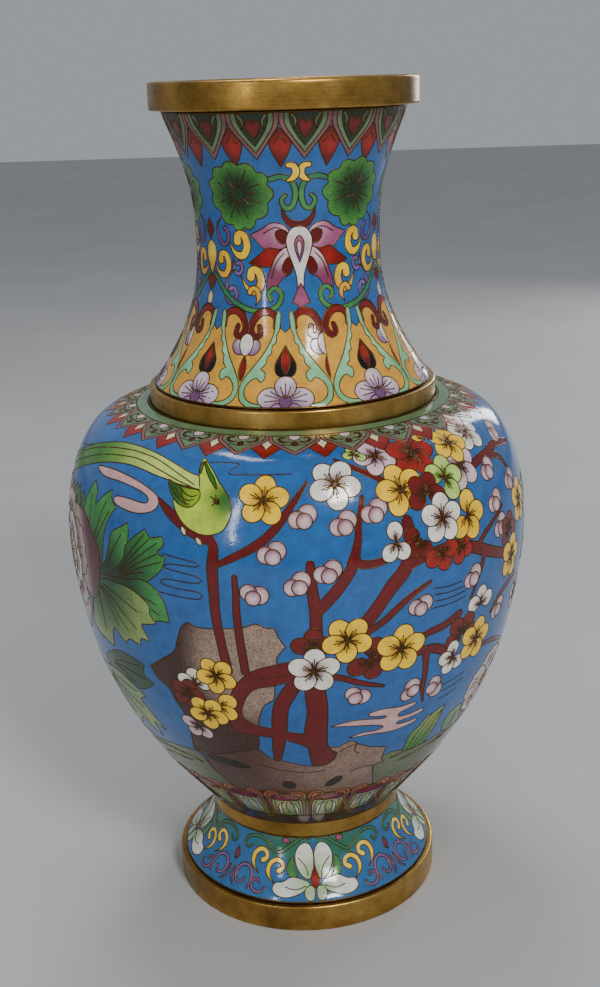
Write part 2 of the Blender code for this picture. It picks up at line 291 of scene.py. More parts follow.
class Nodes:
    """A short way to lay out one material's nodes."""

    def __init__(self, name):
        self.material = bpy.data.materials.new(name)
        self.material.use_nodes = True
        self.tree = self.material.node_tree
        self.shader = self.tree.nodes["Principled BSDF"]
        self.where = self.add("ShaderNodeTexCoord").outputs["Object"]

    def add(self, kind, **settings):
        node = self.tree.nodes.new(kind)
        for name, value in settings.items():
            setattr(node, name, value)
        return node

    def join(self, source, target):
        self.tree.links.new(source, target)

    def set(self, **inputs):
        for name, value in inputs.items():
            self.shader.inputs[name.replace("_", " ")].default_value = value

    def stretched(self, scale):
        node = self.add("ShaderNodeMapping")
        node.inputs["Scale"].default_value = scale
        self.join(self.where, node.inputs["Vector"])
        return node.outputs["Vector"]

    def noise(self, scale, detail=3.0, rough=0.55, where=None):
        node = self.add("ShaderNodeTexNoise")
        node.inputs["Scale"].default_value = scale
        node.inputs["Detail"].default_value = detail
        node.inputs["Roughness"].default_value = rough
        self.join(where or self.where, node.inputs["Vector"])
        return node.outputs["Fac"]

    def spots(self, scale):
        node = self.add("ShaderNodeTexVoronoi")
        node.inputs["Scale"].default_value = scale
        self.join(self.where, node.inputs["Vector"])
        return node.outputs["Distance"]

    def spread(self, value, low, high, to_low, to_high):
        """A value moved from one range to another, held inside the new range."""
        node = self.add("ShaderNodeMapRange")
        for name, number in (("From Min", low), ("From Max", high),
                             ("To Min", to_low), ("To Max", to_high)):
            node.inputs[name].default_value = number
        self.join(value, node.inputs["Value"])
        return node.outputs["Result"]

    def ramp(self, value, *stops):
        """Colours along a value; each stop is (place, colour)."""
        node = self.add("ShaderNodeValToRGB")
        ramp = node.color_ramp
        while len(ramp.elements) < len(stops):
            ramp.elements.new(0.5)
        for element, (place, colour) in zip(ramp.elements, stops):
            element.position = place
            element.color = (*colour, 1.0)
        self.join(value, node.inputs["Fac"])
        return node.outputs["Color"]

    def blend(self, kind, share, first, second):
        """Two colours mixed; the share is a number or a socket."""
        node = self.add("ShaderNodeMix", data_type="RGBA", blend_type=kind)
        for socket, value in ((node.inputs[0], share), (node.inputs[6], first),
                              (node.inputs[7], second)):
            if isinstance(value, bpy.types.NodeSocket):
                self.join(value, socket)
            else:
                socket.default_value = value
        return node.outputs[2]

    def bump(self, height, strength, distance, base=None):
        node = self.add("ShaderNodeBump")
        node.inputs["Strength"].default_value = strength
        node.inputs["Distance"].default_value = distance
        self.join(height, node.inputs["Height"])
        if base is not None:
            self.join(base, node.inputs["Normal"])
        return node.outputs["Normal"]

    def finish(self, colour=None, roughness=None, normal=None):
        for socket, name in ((colour, "Base Color"), (roughness, "Roughness"),
                             (normal, "Normal")):
            if socket is not None:
                self.join(socket, self.shader.inputs[name])
        return self.material


def grey(value):
    return (value, value, value)


def enamel_material():
    """Polished glass enamel: the cell's colour, clouded, specked and finely pitted."""
    n = Nodes("fired_enamel")
    glass = n.add("ShaderNodeVertexColor", layer_name="glass")
    clouds = n.ramp(n.noise(260.0, 4.0), (0.30, grey(0.80)), (0.70, grey(1.12)))
    grains = n.ramp(n.noise(2600.0, 2.0, 0.7), (0.32, grey(0.80)), (0.68, grey(1.16)))
    specks = n.ramp(n.noise(1500.0, 3.0, 0.8), (0.34, grey(0.50)), (0.50, grey(0.95)),
                    (0.70, grey(1.70)))
    pits = n.ramp(n.spots(900.0), (0.05, grey(0.35)), (0.13, grey(1.0)))
    sparse = n.ramp(n.noise(420.0, 1.0), (0.52, grey(0.0)), (0.60, grey(1.0)))
    colour = n.blend("MULTIPLY", 1.0, glass.outputs["Color"], clouds)
    colour = n.blend("MULTIPLY", 0.75, colour, grains)
    colour = n.blend("MULTIPLY", glass.outputs["Alpha"], colour, specks)
    colour = n.blend("MULTIPLY", sparse, colour, pits)
    roughness = n.spread(n.noise(340.0, 3.0), 0.3, 0.7, 0.07, 0.17)
    ripple = n.bump(n.noise(170.0, 2.0), 0.12, 0.0004)
    normal = n.bump(n.noise(1500.0, 2.0), 0.08, 0.0001, ripple)
    n.set(IOR=1.5)
    return n.finish(colour, roughness, normal)


def wire_material():
    """Gilt wire edge, ground flush: its colour is plain, its polish is not."""
    n = Nodes("gilt_wire")
    n.set(Base_Color=(*hue("5C4422"), 1.0), Metallic=1.0)
    roughness = n.spread(n.noise(700.0, 3.0), 0.3, 0.7, 0.26, 0.50)
    return n.finish(None, roughness, n.bump(n.noise(1800.0, 2.0), 0.25, 0.0001))


def turned_marks(n):
    """Fine marks that run round a turned part."""
    return n.noise(90.0, 5.0, 0.7, n.stretched((1.0, 1.0, 26.0)))


def brass_material():
    """Aged satin brass: mottled bright and brown, stained and flecked, with fine marks round it.
    """
    n = Nodes("aged_brass")
    patina = n.noise(34.0, 6.0, 0.62)
    colour = n.ramp(patina, (0.30, hue("7C5C2A")), (0.50, hue("B88E46")),
                    (0.72, hue("D8B266")))
    stains = n.ramp(n.noise(190.0, 5.0, 0.65), (0.34, grey(0.62)), (0.58, grey(1.0)))
    flecks = n.ramp(n.spots(520.0), (0.04, grey(0.5)), (0.12, grey(1.0)))
    colour = n.blend("MULTIPLY", 0.8, colour, stains)
    colour = n.blend("MULTIPLY", 0.5, colour, flecks)
    marks = turned_marks(n)
    roughness = n.spread(marks, 0.30, 0.72, 0.22, 0.44)
    dents = n.bump(n.noise(60.0, 2.0), 0.25, 0.0006)
    n.set(Metallic=1.0)
    return n.finish(colour, roughness, n.bump(marks, 0.16, 0.00012, dents))


def copper_material():
    """Spun copper sheet, dulled brown where the firing left it."""
    n = Nodes("fired_copper")
    colour = n.ramp(n.noise(55.0, 5.0, 0.6), (0.32, hue("5A2C1A")), (0.66, hue("A5613C")))
    marks = turned_marks(n)
    n.set(Metallic=1.0)
    return n.finish(colour, n.spread(marks, 0.30, 0.72, 0.30, 0.52),
                    n.bump(marks, 0.16, 0.00012))


def lining_material(name, deep, pale):
    """Counter-enamel: fired thick and left unpolished, mottled and bubbled."""
    n = Nodes(name)
    body = n.ramp(n.noise(120.0, 5.0, 0.6), (0.32, hue(deep)), (0.68, hue(pale)))
    bubbles = n.ramp(n.spots(420.0), (0.05, grey(0.45)), (0.16, grey(1.0)))
    colour = n.blend("MULTIPLY", 0.7, body, bubbles)
    roughness = n.spread(n.noise(200.0, 3.0), 0.3, 0.7, 0.24, 0.42)
    ripple = n.bump(n.noise(90.0, 3.0), 0.4, 0.0008)
    return n.finish(colour, roughness, n.bump(n.spots(420.0), 0.15, 0.0003, ripple))


ENAMEL = enamel_material()
WIRE = wire_material()
BRASS = brass_material()
COPPER_SHEET = copper_material()
TURQUOISE = lining_material("turquoise_lining", "1C7684", "3CA0A8")
NAVY = lining_material("navy_lining", "14284E", "27477C")

# ---------------------------------------------------------------- shared mesh helpers


def new_piece(name, vertices, faces, material):
    """A smooth-shaded mesh object of one material."""
    mesh = bpy.data.meshes.new(name)
    mesh.from_pydata([tuple(v) for v in vertices], [], [tuple(f) for f in faces])
    mesh.materials.append(material)
    piece = bpy.data.objects.new(name, mesh)
    bpy.context.collection.objects.link(piece)
    mesh.shade_smooth()
    return piece


def belongs(piece, slot, *nodes):
    """The piece rides on the vase and stands for its solids; its slot is not used."""
    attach(piece, "root")
    if nodes:
        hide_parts(*nodes)


SEGMENTS = 224
SHARP_ANGLE = 38.0


def rounded(outline, corners, steps=7):
    """The outline with some corners turned into arcs; corners maps number to radius."""
    result = []
    for index, corner in enumerate(outline):
        if index not in corners:
            result.append(corner)
            continue
        here = np.array(corner)
        before = np.array(outline[index - 1]) - here
        after = np.array(outline[(index + 1) % len(outline)]) - here
        start = here + before / np.linalg.norm(before) * corners[index]
        end = here + after / np.linalg.norm(after) * corners[index]
        for share in np.linspace(0.0, 1.0, steps):
            bent = (1 - share) ** 2 * start + 2 * share * (1 - share) * here + share ** 2 * end
            result.append(tuple(bent))
    return result


def turned(name, outline, material, closed=True):
    """An outline of (radius, height) spun about the axis; ends on the axis stay open."""
    vertices = []
    rings = []
    turns = np.arange(SEGMENTS) * math.tau / SEGMENTS
    for radius, height in outline:
        start = len(vertices)
        if radius < 1e-6:
            vertices.append((0.0, 0.0, height * MM))
            rings.append([start] * SEGMENTS)
            continue
        vertices.extend(zip(radius * MM * np.sin(turns), -radius * MM * np.cos(turns),
                            np.full(SEGMENTS, height * MM)))
        rings.append(list(range(start, start + SEGMENTS)))
    faces = []
    pairs = list(zip(rings, rings[1:])) + ([(rings[-1], rings[0])] if closed else [])
    for upper, lower in pairs:
        for i in range(SEGMENTS):
            j = (i + 1) % SEGMENTS
            corners = []
            for vertex in (upper[i], lower[i], lower[j], upper[j]):
                if vertex not in corners:
                    corners.append(vertex)
            faces.append(corners)
    piece = new_piece(name, vertices, faces, material)
    piece.data.set_sharp_from_angle(angle=math.radians(SHARP_ANGLE))
    return piece


# ---------------------------------------------------------------- enamel fields

# Millimetres between the points of cells, discs, lines and the field's own edge, and
# between the grid's points; its rows are closer than its columns.
CELL_STEP = 0.85
DISC_STEP = 0.6
LINE_STEP = 0.8
EDGE_STEP = 1.4
GRID = 2.1
GRID_ROW = 0.87
SHORTEST_EDGE = 1e-3
MERGE_WITHIN = 1e-4
SKIN_DEPTH = 0.45
WHOLE_TURNS = (-360.0, 0.0, 360.0)
WIRE_WIDTH = 0.40
WIRE_CROWN = 0.72
WIRE_PROUD = 0.055
WIRE_ROOT = 0.12

# Cells of one group have no wire between them.
GROUND_GROUP = -1
CRESCENT_GROUP = 2 * 10 ** 6
AMBER_GROUP = 3 * 10 ** 6
WOOD_GROUP = 4 * 10 ** 6


class Paint:
    """A cell's colour: one glass, or two that run together outwards from a place.

    Its grain, 0 to 1, is how strongly the ground glass shows as specks.
    """

    def __init__(self, inner, outer=None, centre=(0.0, 0.0), start=0.0, reach=1.0, grain=0.0):
        self.inner = np.array(inner)
        self.outer = np.array(inner if outer is None else outer)
        self.centre = centre
        self.start = start
        self.reach = reach
        self.grain = grain

    def at(self, skin, places):
        across = (places[:, 0] - self.centre[0]) * skin.per_degree(places[:, 1])
        share = (np.hypot(across, places[:, 1] - self.centre[1]) - self.start) / self.reach
        share = np.clip(share, 0.0, 1.0)[:, None]
        share = share * share * (3 - 2 * share)
        colour = self.inner + (self.outer - self.inner) * share
        return np.column_stack([colour, np.full(len(colour), self.grain)])


Cell = namedtuple("Cell", "outline paint group")


class Field:
    """One enamelled face: cells in the order they are laid, and loose lines of wire."""

    def __init__(self, name, skin, top, bottom, ground):
        self.name = name
        self.skin = skin
        self.top = top
        self.bottom = bottom
        self.cells = []
        self.lines = []
        self.ground = Paint(ground)
        self.plane = float(skin.per_degree((top + bottom) / 2))

    # -- cutting the face into cells

    def flat(self, places):
        return np.column_stack([places[:, 0] * self.plane, places[:, 1]])

    def seen_from(self, left, right):
        """(painting order, outline) of the cells that reach into a sector."""
        for order, cell in enumerate(self.cells):
            for shift in WHOLE_TURNS:
                low = cell.outline[:, 0].min() + shift
                high = cell.outline[:, 0].max() + shift
                if high > left and low < right:
                    yield order, cell.outline + (shift, 0.0)

    def frame_of(self, left, right):
        """The sector's own outline, in even steps."""
        across = np.linspace(left, right, math.ceil((right - left) * self.plane / EDGE_STEP) + 1)
        down = np.linspace(self.top, self.bottom,
                           math.ceil((self.bottom - self.top) / EDGE_STEP) + 1)
        sides = ((across[:-1], self.top), (right, down[:-1]),
                 (across[:0:-1], self.bottom), (left, down[:0:-1]))
        return np.vstack([np.column_stack(np.broadcast_arrays(*side)) for side in sides])

    def grid_in(self, left, right):
        """Places inside a sector that keep its triangles even, in staggered rows."""
        rows = max(2, round((self.bottom - self.top) / (GRID * GRID_ROW)))
        points = []
        for row, down in enumerate(np.linspace(self.top, self.bottom, rows + 1)[1:-1]):
            count = max(2, round((right - left) * self.skin.per_degree(down) / GRID))
            shift = -0.5 if row % 2 else 0.25
            points += [(left + (i + shift) * (right - left) / count, down)
                       for i in range(1, count)]
        return np.array(points)

    def cut(self, left, right):
        """Triangles of a sector, their places, and the painting order on top of each."""
        vertices = []
        faces = []
        owners = []

        def add(outline, owner):
            flat = self.flat(outline)
            ahead = np.roll(flat, -1, axis=0)
            keep = np.hypot(*(ahead - flat).T) > SHORTEST_EDGE
            flat = flat[keep]
            if len(flat) < 3:
                return
            x, y = flat.T
            if (x * np.roll(y, -1) - np.roll(x, -1) * y).sum() < 0:
                flat = flat[::-1]
            faces.append(list(range(len(vertices), len(vertices) + len(flat))))
            vertices.extend(Vector(p) for p in flat.tolist())
            owners.append(owner)

        add(self.frame_of(left, right), -1)
        for order, outline in self.seen_from(left, right):
            add(outline, order)
        vertices.extend(Vector(p) for p in self.flat(self.grid_in(left, right)).tolist())
        flat, _, triangles, _, _, under = delaunay_2d_cdt(vertices, [], faces, 1,
                                                              MERGE_WITHIN, True)
        kept = []
        tops = []
        for triangle, ids in zip(triangles, under):
            if 0 in ids and len(triangle) == 3:
                kept.append(triangle)
                tops.append(owners[max(ids)])
        kept = np.array(kept)
        places = np.array([tuple(p) for p in flat])
        places[:, 0] /= self.plane
        used, kept = np.unique(kept, return_inverse=True)
        return places[used], kept.reshape(-1, 3), np.array(tops)

    def colours(self, places, triangles, tops):
        """Linear colour and grain at each triangle's corners."""
        corners = np.empty((len(triangles), 3, 4))
        for order in np.unique(tops):
            mine = tops == order
            spots = places[triangles[mine].ravel()]
            paint = self.ground
            if order >= 0:
                cell = self.cells[order]
                paint = cell.paint
                home = (cell.outline[:, 0].min() + cell.outline[:, 0].max()) / 2
                spots = spots - (np.round((spots[:, :1] - home) / 360.0) * (360.0, 0.0))
            corners[mine] = paint.at(self.skin, spots).reshape(-1, 3, 4)
        return corners

    def build(self, sectors, node):
        """Pieces of glass and of wire for each sector, standing for the CAD node."""
        edges = [-180.0 + 360.0 / sectors * i for i in range(sectors + 1)]
        groups = np.array([GROUND_GROUP] + [cell.group for cell in self.cells])
        for number, (left, right) in enumerate(zip(edges, edges[1:]), 1):
            places, triangles, tops = self.cut(left, right)
            colours = self.colours(places, triangles, tops)
            sheet = self.sheet(f"{self.name}_{number}", places, triangles, colours)
            belongs(sheet, node, node)
            paths = wire_paths(places, triangles, groups[tops + 1])
            paths += self.loose_lines(left, right)
            if paths:
                wires = ribbons(f"{self.name}_wires_{number}", self.skin, paths)
                belongs(wires, "gilt_wire")

    def sheet(self, name, places, triangles, colours):
        """The sector's skin of glass as a closed solid."""
        count = len(places)
        outer = triangles[:, ::-1]
        ways = edges_of(outer)
        first, times = np.unique(np.sort(ways, axis=1), axis=0, return_index=True,
                                 return_counts=True)[1:]
        rim = ways[first[times == 1]]
        walls = np.column_stack([rim[:, 1], rim[:, 0], rim[:, 0] + count, rim[:, 1] + count])
        vertices = np.vstack([self.skin.points(places), self.skin.points(places, -SKIN_DEPTH)])
        faces = outer.tolist() + (triangles + count).tolist() + walls.tolist()
        piece = new_piece(name, vertices, faces, ENAMEL)
        mesh = piece.data
        glass = mesh.color_attributes.new(name="glass", type="FLOAT_COLOR", domain="CORNER")
        plain = np.tile([*self.ground.inner, 0.0], (len(mesh.loops) - 3 * len(outer), 1))
        shown = np.vstack([colours[:, ::-1].reshape(-1, 4), plain])
        glass.data.foreach_set("color", shown.astype(np.float32).ravel())
        outward = self.skin.outward(places)
        sides = np.repeat(np.array([mesh.polygons[i].normal for i in range(
            2 * len(outer), len(mesh.polygons))]).reshape(-1, 3), 4, axis=0)
        mesh.normals_split_custom_set(np.vstack([
            outward[outer.ravel()], -outward[triangles.ravel()], sides]).tolist())
        return piece

    def loose_lines(self, left, right):
        """The loose lines' stretches that no later cell covers, inside a sector."""
        paths = []
        for order, line in self.lines:
            for shift in WHOLE_TURNS:
                moved = line + (shift, 0.0)
                if moved[:, 0].max() < left or moved[:, 0].min() > right:
                    continue
                clear = ((moved[:, 0] >= left) & (moved[:, 0] <= right)
                         & (moved[:, 1] > self.top) & (moved[:, 1] < self.bottom))
                for cell in self.cells[order:]:
                    low, high = cell.outline.min(axis=0), cell.outline.max(axis=0)
                    near = clear & ((line >= low) & (line <= high)).all(axis=1)
                    if near.any():
                        clear[near] &= ~inside(line[near], cell.outline)
                marks = np.flatnonzero(np.diff(np.concatenate([[0], clear.astype(int), [0]])))
                for start, end in marks.reshape(-1, 2):
                    if end - start >= 2:
                        paths.append((moved[start:end], False))
        return paths


def edges_of(triangles):
    """The triangles' edges, one side of all of them after another."""
    return np.vstack([triangles[:, (0, 1)], triangles[:, (1, 2)], triangles[:, (2, 0)]])


def inside(points, outline):
    """Which points lie within an outline, by crossings."""
    x, y = outline.T
    x2, y2 = np.roll(x, -1), np.roll(y, -1)
    px, py = points[:, :1], points[:, 1:]
    spans = (y > py) != (y2 > py)
    rise = np.where(y2 == y, 1.0, y2 - y)
    crosses = spans & (px < (x2 - x) * (py - y) / rise + x)
    return crosses.sum(axis=1) % 2 == 1


def wire_paths(places, triangles, groups):
    """Lines between cells, as (places, closed) runs from junction to junction."""
    ways = np.sort(edges_of(triangles), axis=1)
    owner = np.tile(groups, 3)
    order = np.lexsort((ways[:, 1], ways[:, 0]))
    ways, owner = ways[order], owner[order]
    paired = (ways[:-1] == ways[1:]).all(axis=1) & (owner[:-1] != owner[1:])
    beside = {}
    for a, b in ways[:-1][paired].tolist():
        beside.setdefault(a, []).append(b)
        beside.setdefault(b, []).append(a)
    done = set()
    paths = []

    def way(a, b):
        return min(a, b), max(a, b)

    def walk(start, ahead):
        path = [start, ahead]
        done.add(way(start, ahead))
        while len(beside[path[-1]]) == 2 and path[-1] != start:
            here = path[-1]
            left = [n for n in beside[here] if way(here, n) not in done]
            if not left:
                break
            done.add(way(here, left[0]))
            path.append(left[0])
        closed = path[-1] == start and len(path) > 3
        paths.append((places[path[:-1] if closed else path], closed))

    knots = [v for v in beside if len(beside[v]) != 2]
    for vertex in knots + sorted(beside):
        for ahead in beside[vertex]:
            if way(vertex, ahead) not in done:
                walk(vertex, ahead)
    return paths


def ribbons(name, skin, paths):
    """Closed raised strips of wire along the paths, as one piece."""
    vertices = []
    faces = []
    count = 0
    half = WIRE_WIDTH / 2
    crown = WIRE_CROWN * half
    section = ((half, -WIRE_ROOT), (crown, WIRE_PROUD), (-crown, WIRE_PROUD),
               (-half, -WIRE_ROOT))
    for places, closed in paths:
        scale = skin.per_degree(places[:, 1])
        flat = np.column_stack([places[:, 0] * scale.mean(), places[:, 1]])
        if closed:
            along = np.roll(flat, -1, axis=0) - np.roll(flat, 1, axis=0)
        else:
            along = np.gradient(flat, axis=0)
        along /= np.maximum(np.hypot(*along.T), 1e-9)[:, None]
        across = np.column_stack([-along[:, 1] / scale, along[:, 0]])
        rings = [skin.points(places + across * side, lift) for side, lift in section]
        vertices.append(np.stack(rings, axis=1).reshape(-1, 3))
        n = len(places)
        start = np.arange(n if closed else n - 1)
        base = count + 4 * start
        ahead = count + 4 * ((start + 1) % n)
        for i in range(4):
            j = (i + 1) % 4
            faces.append(np.column_stack([base + i, base + j, ahead + j, ahead + i]))
        if not closed:
            last = count + 4 * (n - 1)
            faces.append(np.array([[count + 3, count + 2, count + 1, count],
                                   [last, last + 1, last + 2, last + 3]]))
        count += 4 * n
    return new_piece(name, np.vstack(vertices), np.vstack(faces).tolist(), WIRE)


class Pen:
    """Lays cells and wire on a field, turned by an angle and perhaps mirrored.

    Points are (degrees, millimetres down); a third value marks a sharp corner.
    """

    def __init__(self, field, turn=0.0, mirror=False):
        self.field = field
        self.turn = turn
        self.sign = -1.0 if mirror else 1.0

    def place(self, points):
        points = np.asarray([p[:2] for p in points], dtype=float)
        return np.column_stack([self.turn + self.sign * points[:, 0], points[:, 1]])

    def scale(self, points):
        return float(self.field.skin.per_degree(np.mean([p[1] for p in points])))

    def paint(self, paint):
        if not isinstance(paint, Paint):
            return Paint(paint)
        centre = (self.turn + self.sign * paint.centre[0], paint.centre[1])
        return Paint(paint.inner, paint.outer, centre, paint.start, paint.reach, paint.grain)

    def lay(self, outline, paint, group=None):
        cells = self.field.cells
        cells.append(Cell(self.place(outline), self.paint(paint),
                          len(cells) if group is None else group))

    def area(self, points, paint, group=None):
        """A cell with a smooth outline, apart from its marked corners."""
        scale = self.scale(points)
        flat = [np.array((p[0] * scale, p[1])) for p in points]
        corners = [i for i, p in enumerate(points) if len(p) == 3]
        if not corners:
            outline = spline(flat, True, CELL_STEP)
        else:
            runs = []
            for a, b in zip(corners, corners[1:] + [corners[0] + len(points)]):
                run = [flat[i % len(points)] for i in range(a, b + 1)]
                runs.append(spline(run, False, CELL_STEP)[:-1])
            outline = np.vstack(runs)
        self.lay(outline / (scale, 1.0), paint, group)

    def both(self, points, paint):
        """A cell that is mirror-symmetric; the points are its right half, top to bottom."""
        left = [(-p[0], *p[1:]) for p in points[::-1] if p[0] != 0]
        self.area(points + left, paint)

    def band(self, points, widths, paint, group=None):
        """A strip along a smooth line, its width given at even steps."""
        scale = self.scale(points)
        line = spline([(p[0] * scale, p[1]) for p in points], False, LINE_STEP)
        share = np.linspace(0.0, 1.0, len(line))
        half = np.interp(share, np.linspace(0.0, 1.0, len(widths)), widths)[:, None] / 2
        along = np.gradient(line, axis=0)
        along /= np.maximum(np.hypot(*along.T), 1e-9)[:, None]
        across = np.column_stack([-along[:, 1], along[:, 0]])
        left, right = line + across * half, line - across * half
        caps = []
        for end, way, size in ((-1, 1.0, widths[-1]), (0, -1.0, widths[0])):
            turns = np.linspace(0.0, math.pi, 7)[1:-1, None] if size > 0.5 else np.empty((0, 1))
            caps.append(line[end] + size / 2 * way * (
                across[end] * np.cos(turns) + along[end] * np.sin(turns)))
        outline = np.vstack([left, caps[0], right[::-1], caps[1]])
        self.lay(outline / (scale, 1.0), paint, group)

    def disc(self, where, radius, paint, squash=1.0, lean=0.0):
        """A round cell; squash shortens it across its lean."""
        scale = self.scale([where])
        count = max(8, round(math.tau * radius / DISC_STEP))
        turns = np.linspace(0.0, math.tau, count, endpoint=False)
        long, short = radius * np.cos(turns), radius * squash * np.sin(turns)
        lean *= DEGREE
        x = long * math.cos(lean) - short * math.sin(lean)
        y = long * math.sin(lean) + short * math.cos(lean)
        self.lay(np.column_stack([where[0] + x / scale, where[1] + y]), paint)

    def wire(self, points):
        """A loose line of wire."""
        scale = self.scale(points)
        line = spline([(p[0] * scale, p[1]) for p in points], False, LINE_STEP)
        self.field.lines.append((len(self.field.cells), self.place(line / (scale, 1.0))))


# ---------------------------------------------------------------- small motifs

# Parts of a plum blossom as shares of its radius.
PETAL_PLACE = 0.55
PETAL_SIZE = 0.45
PETAL_SQUASH = 0.92
EYE = 0.08
VEIN = 0.56


def flipped(points, sign):
    """The points mirrored about the pen's axis when the sign is -1."""
    return [(sign * p[0], *p[1:]) for p in points]


def moved(points, across, down):
    """The points shifted by degrees across and millimetres down."""
    return [(p[0] + across, p[1] + down) for p in points]


def mirrored(pen):
    """A pen that draws the other way round from the same axis."""
    return Pen(pen.field, pen.turn, pen.sign > 0)


def blossom(pen, where, radius, lean, rim, heart, seen):
    """A plum blossom: those of its five petals that are seen, stamens of wire, an eye."""
    scale = pen.scale([where])

    def spot(turn, reach):
        return (where[0] + reach * math.sin(turn * DEGREE) / scale,
                where[1] - reach * math.cos(turn * DEGREE))

    paint = Paint(heart, rim, where, 0.12 * radius, 0.55 * radius)
    for petal in seen:
        turn = 72.0 * petal + lean
        pen.disc(spot(turn, PETAL_PLACE * radius), PETAL_SIZE * radius, paint, PETAL_SQUASH,
                 turn + 90.0)
    pen.disc(where, EYE * radius, MAROON)
    for petal in seen:
        for offset, share in ((-12.0, 0.75), (0.0, 1.0), (14.0, 0.8)):
            turn = 72.0 * petal + lean + offset
            pen.wire([spot(turn, EYE * radius), spot(turn, VEIN * share * radius)])


def bud(pen, where, radius, lean):
    """A plump bud: two outer petals with a round one in front."""
    scale = pen.scale([where])
    turn = lean * DEGREE

    def beside(x, y):
        return (where[0] + radius * (x * math.cos(turn) - y * math.sin(turn)) / scale,
                where[1] + radius * (x * math.sin(turn) + y * math.cos(turn)))

    shade = hue("8A4E66")
    for x, y, size in ((0.26, -0.32, 0.74), (-0.32, 0.30, 0.66), (0.22, 0.22, 0.60)):
        middle = beside(x, y)
        pen.disc(middle, size * radius,
                 Paint(LIGHT_BUD, shade, beside(1.4 * x, 1.4 * y), 0.3 * size * radius,
                       0.95 * size * radius))


def curl(pen, points, width, paint):
    """A scroll with a ball at its start and a long pointed tail."""
    pen.band(points, (1.15 * width, 0.95 * width, width, 1.05 * width, 0.95 * width,
                      0.35 * width, 0.1), paint)


# ---------------------------------------------------------------- the neck

NECK_AXIS = 6.5
NECK_TENT_AXIS = -3.0
NECK_DROP_AXIS = -2.5
NECK_LAPPETS = 15
NECK_TENTS = 9


def neck_border(field):
    """Fifteen pointed lappets under the mouth ring, with a red drop between each two."""
    # The band under the mouth ring and the lappets' hearts are a dark green that is partly
    # painted shadow of the ring.
    Pen(field).lay([(-180, 4), (180, 4), (180, 8.6), (-180, 8.6)], BORDER_GREEN_AND_RING_SHADOW)
    pitch = 360.0 / NECK_LAPPETS
    for i in range(NECK_LAPPETS):
        pen = Pen(field, NECK_DROP_AXIS + pitch * i + pitch / 2)
        for edge, colour in (
                ([(12, 4, 1), (11.6, 9), (7.2, 13.2), (0, 18.8, 1)], LAPPET_PINK),
                ([(9.6, 4, 1), (9.4, 8.8), (5.8, 12.6), (0, 17, 1)], LAPPET_GREEN),
                ([(7.4, 4, 1), (7, 8.2), (4.2, 11.8), (0, 15, 1)], BORDER_GREEN_AND_RING_SHADOW)):
            pen.both([(0, 4, 1)] + edge, colour)
        pen.both([(0, 8.4, 1), (1.8, 7.4), (3.3, 8.8), (2.4, 11), (0, 12.8, 1)],
                 Paint(RED, DARK_RED, (0, 9.5), 0.2, 1.8))
        for sign in (-1, 1):
            pen.band(flipped([(6.2, 6.4), (4.6, 8), (5.2, 10.2)], sign),
                     (0.9, 0.7, 0.2), LAPPET_GREEN)
    for i in range(NECK_LAPPETS):
        pen = Pen(field, NECK_DROP_AXIS + pitch * i)
        pen.both([(0, 9.6, 1), (2.4, 11.4), (5, 13.6), (5.2, 15), (3.4, 17.6), (1.2, 19.8),
                  (0, 21, 1)], Paint(BRIGHT_RED, DARK_RED, (0.6, 15), 0.5, 4.2))
        pen.wire([(-3, 14.2), (0, 12.4), (3, 14.2)])


def scalloped_leaf(pen):
    """A broad leaf, narrower below its middle, with a scalloped rim and veins of wire."""
    middle = (34.6, 28.2)
    half_width, above, below = 20.4, 9, 10.6
    scallops, veins = 11, 16
    rim = []
    for turn in np.linspace(0, math.tau, 6 * scallops, endpoint=False):
        x, y = math.cos(turn), math.sin(turn)
        share = 0.89 + 0.13 * abs(math.sin(scallops / 2 * turn))
        narrow = 1.0 - 0.30 * max(y, 0) ** 2
        rim.append((middle[0] + half_width * share * narrow * x,
                    middle[1] + (below if y > 0 else above) * share * y))
    pen.area(rim, Paint(DEEP_LEAF, hue("50963E"), middle, 3, 8.6, 0.6))
    for i in range(veins):
        turn = math.tau * i / veins
        x, y = math.cos(turn), math.sin(turn)
        reach = 0.80 if i % 2 else 0.60
        pen.wire([(middle[0] + 3.0 * x, middle[1] + 1.6 * y),
                  (middle[0] + 18.0 * reach * x + 1.2 * y, middle[1] + 9.0 * reach * y)])


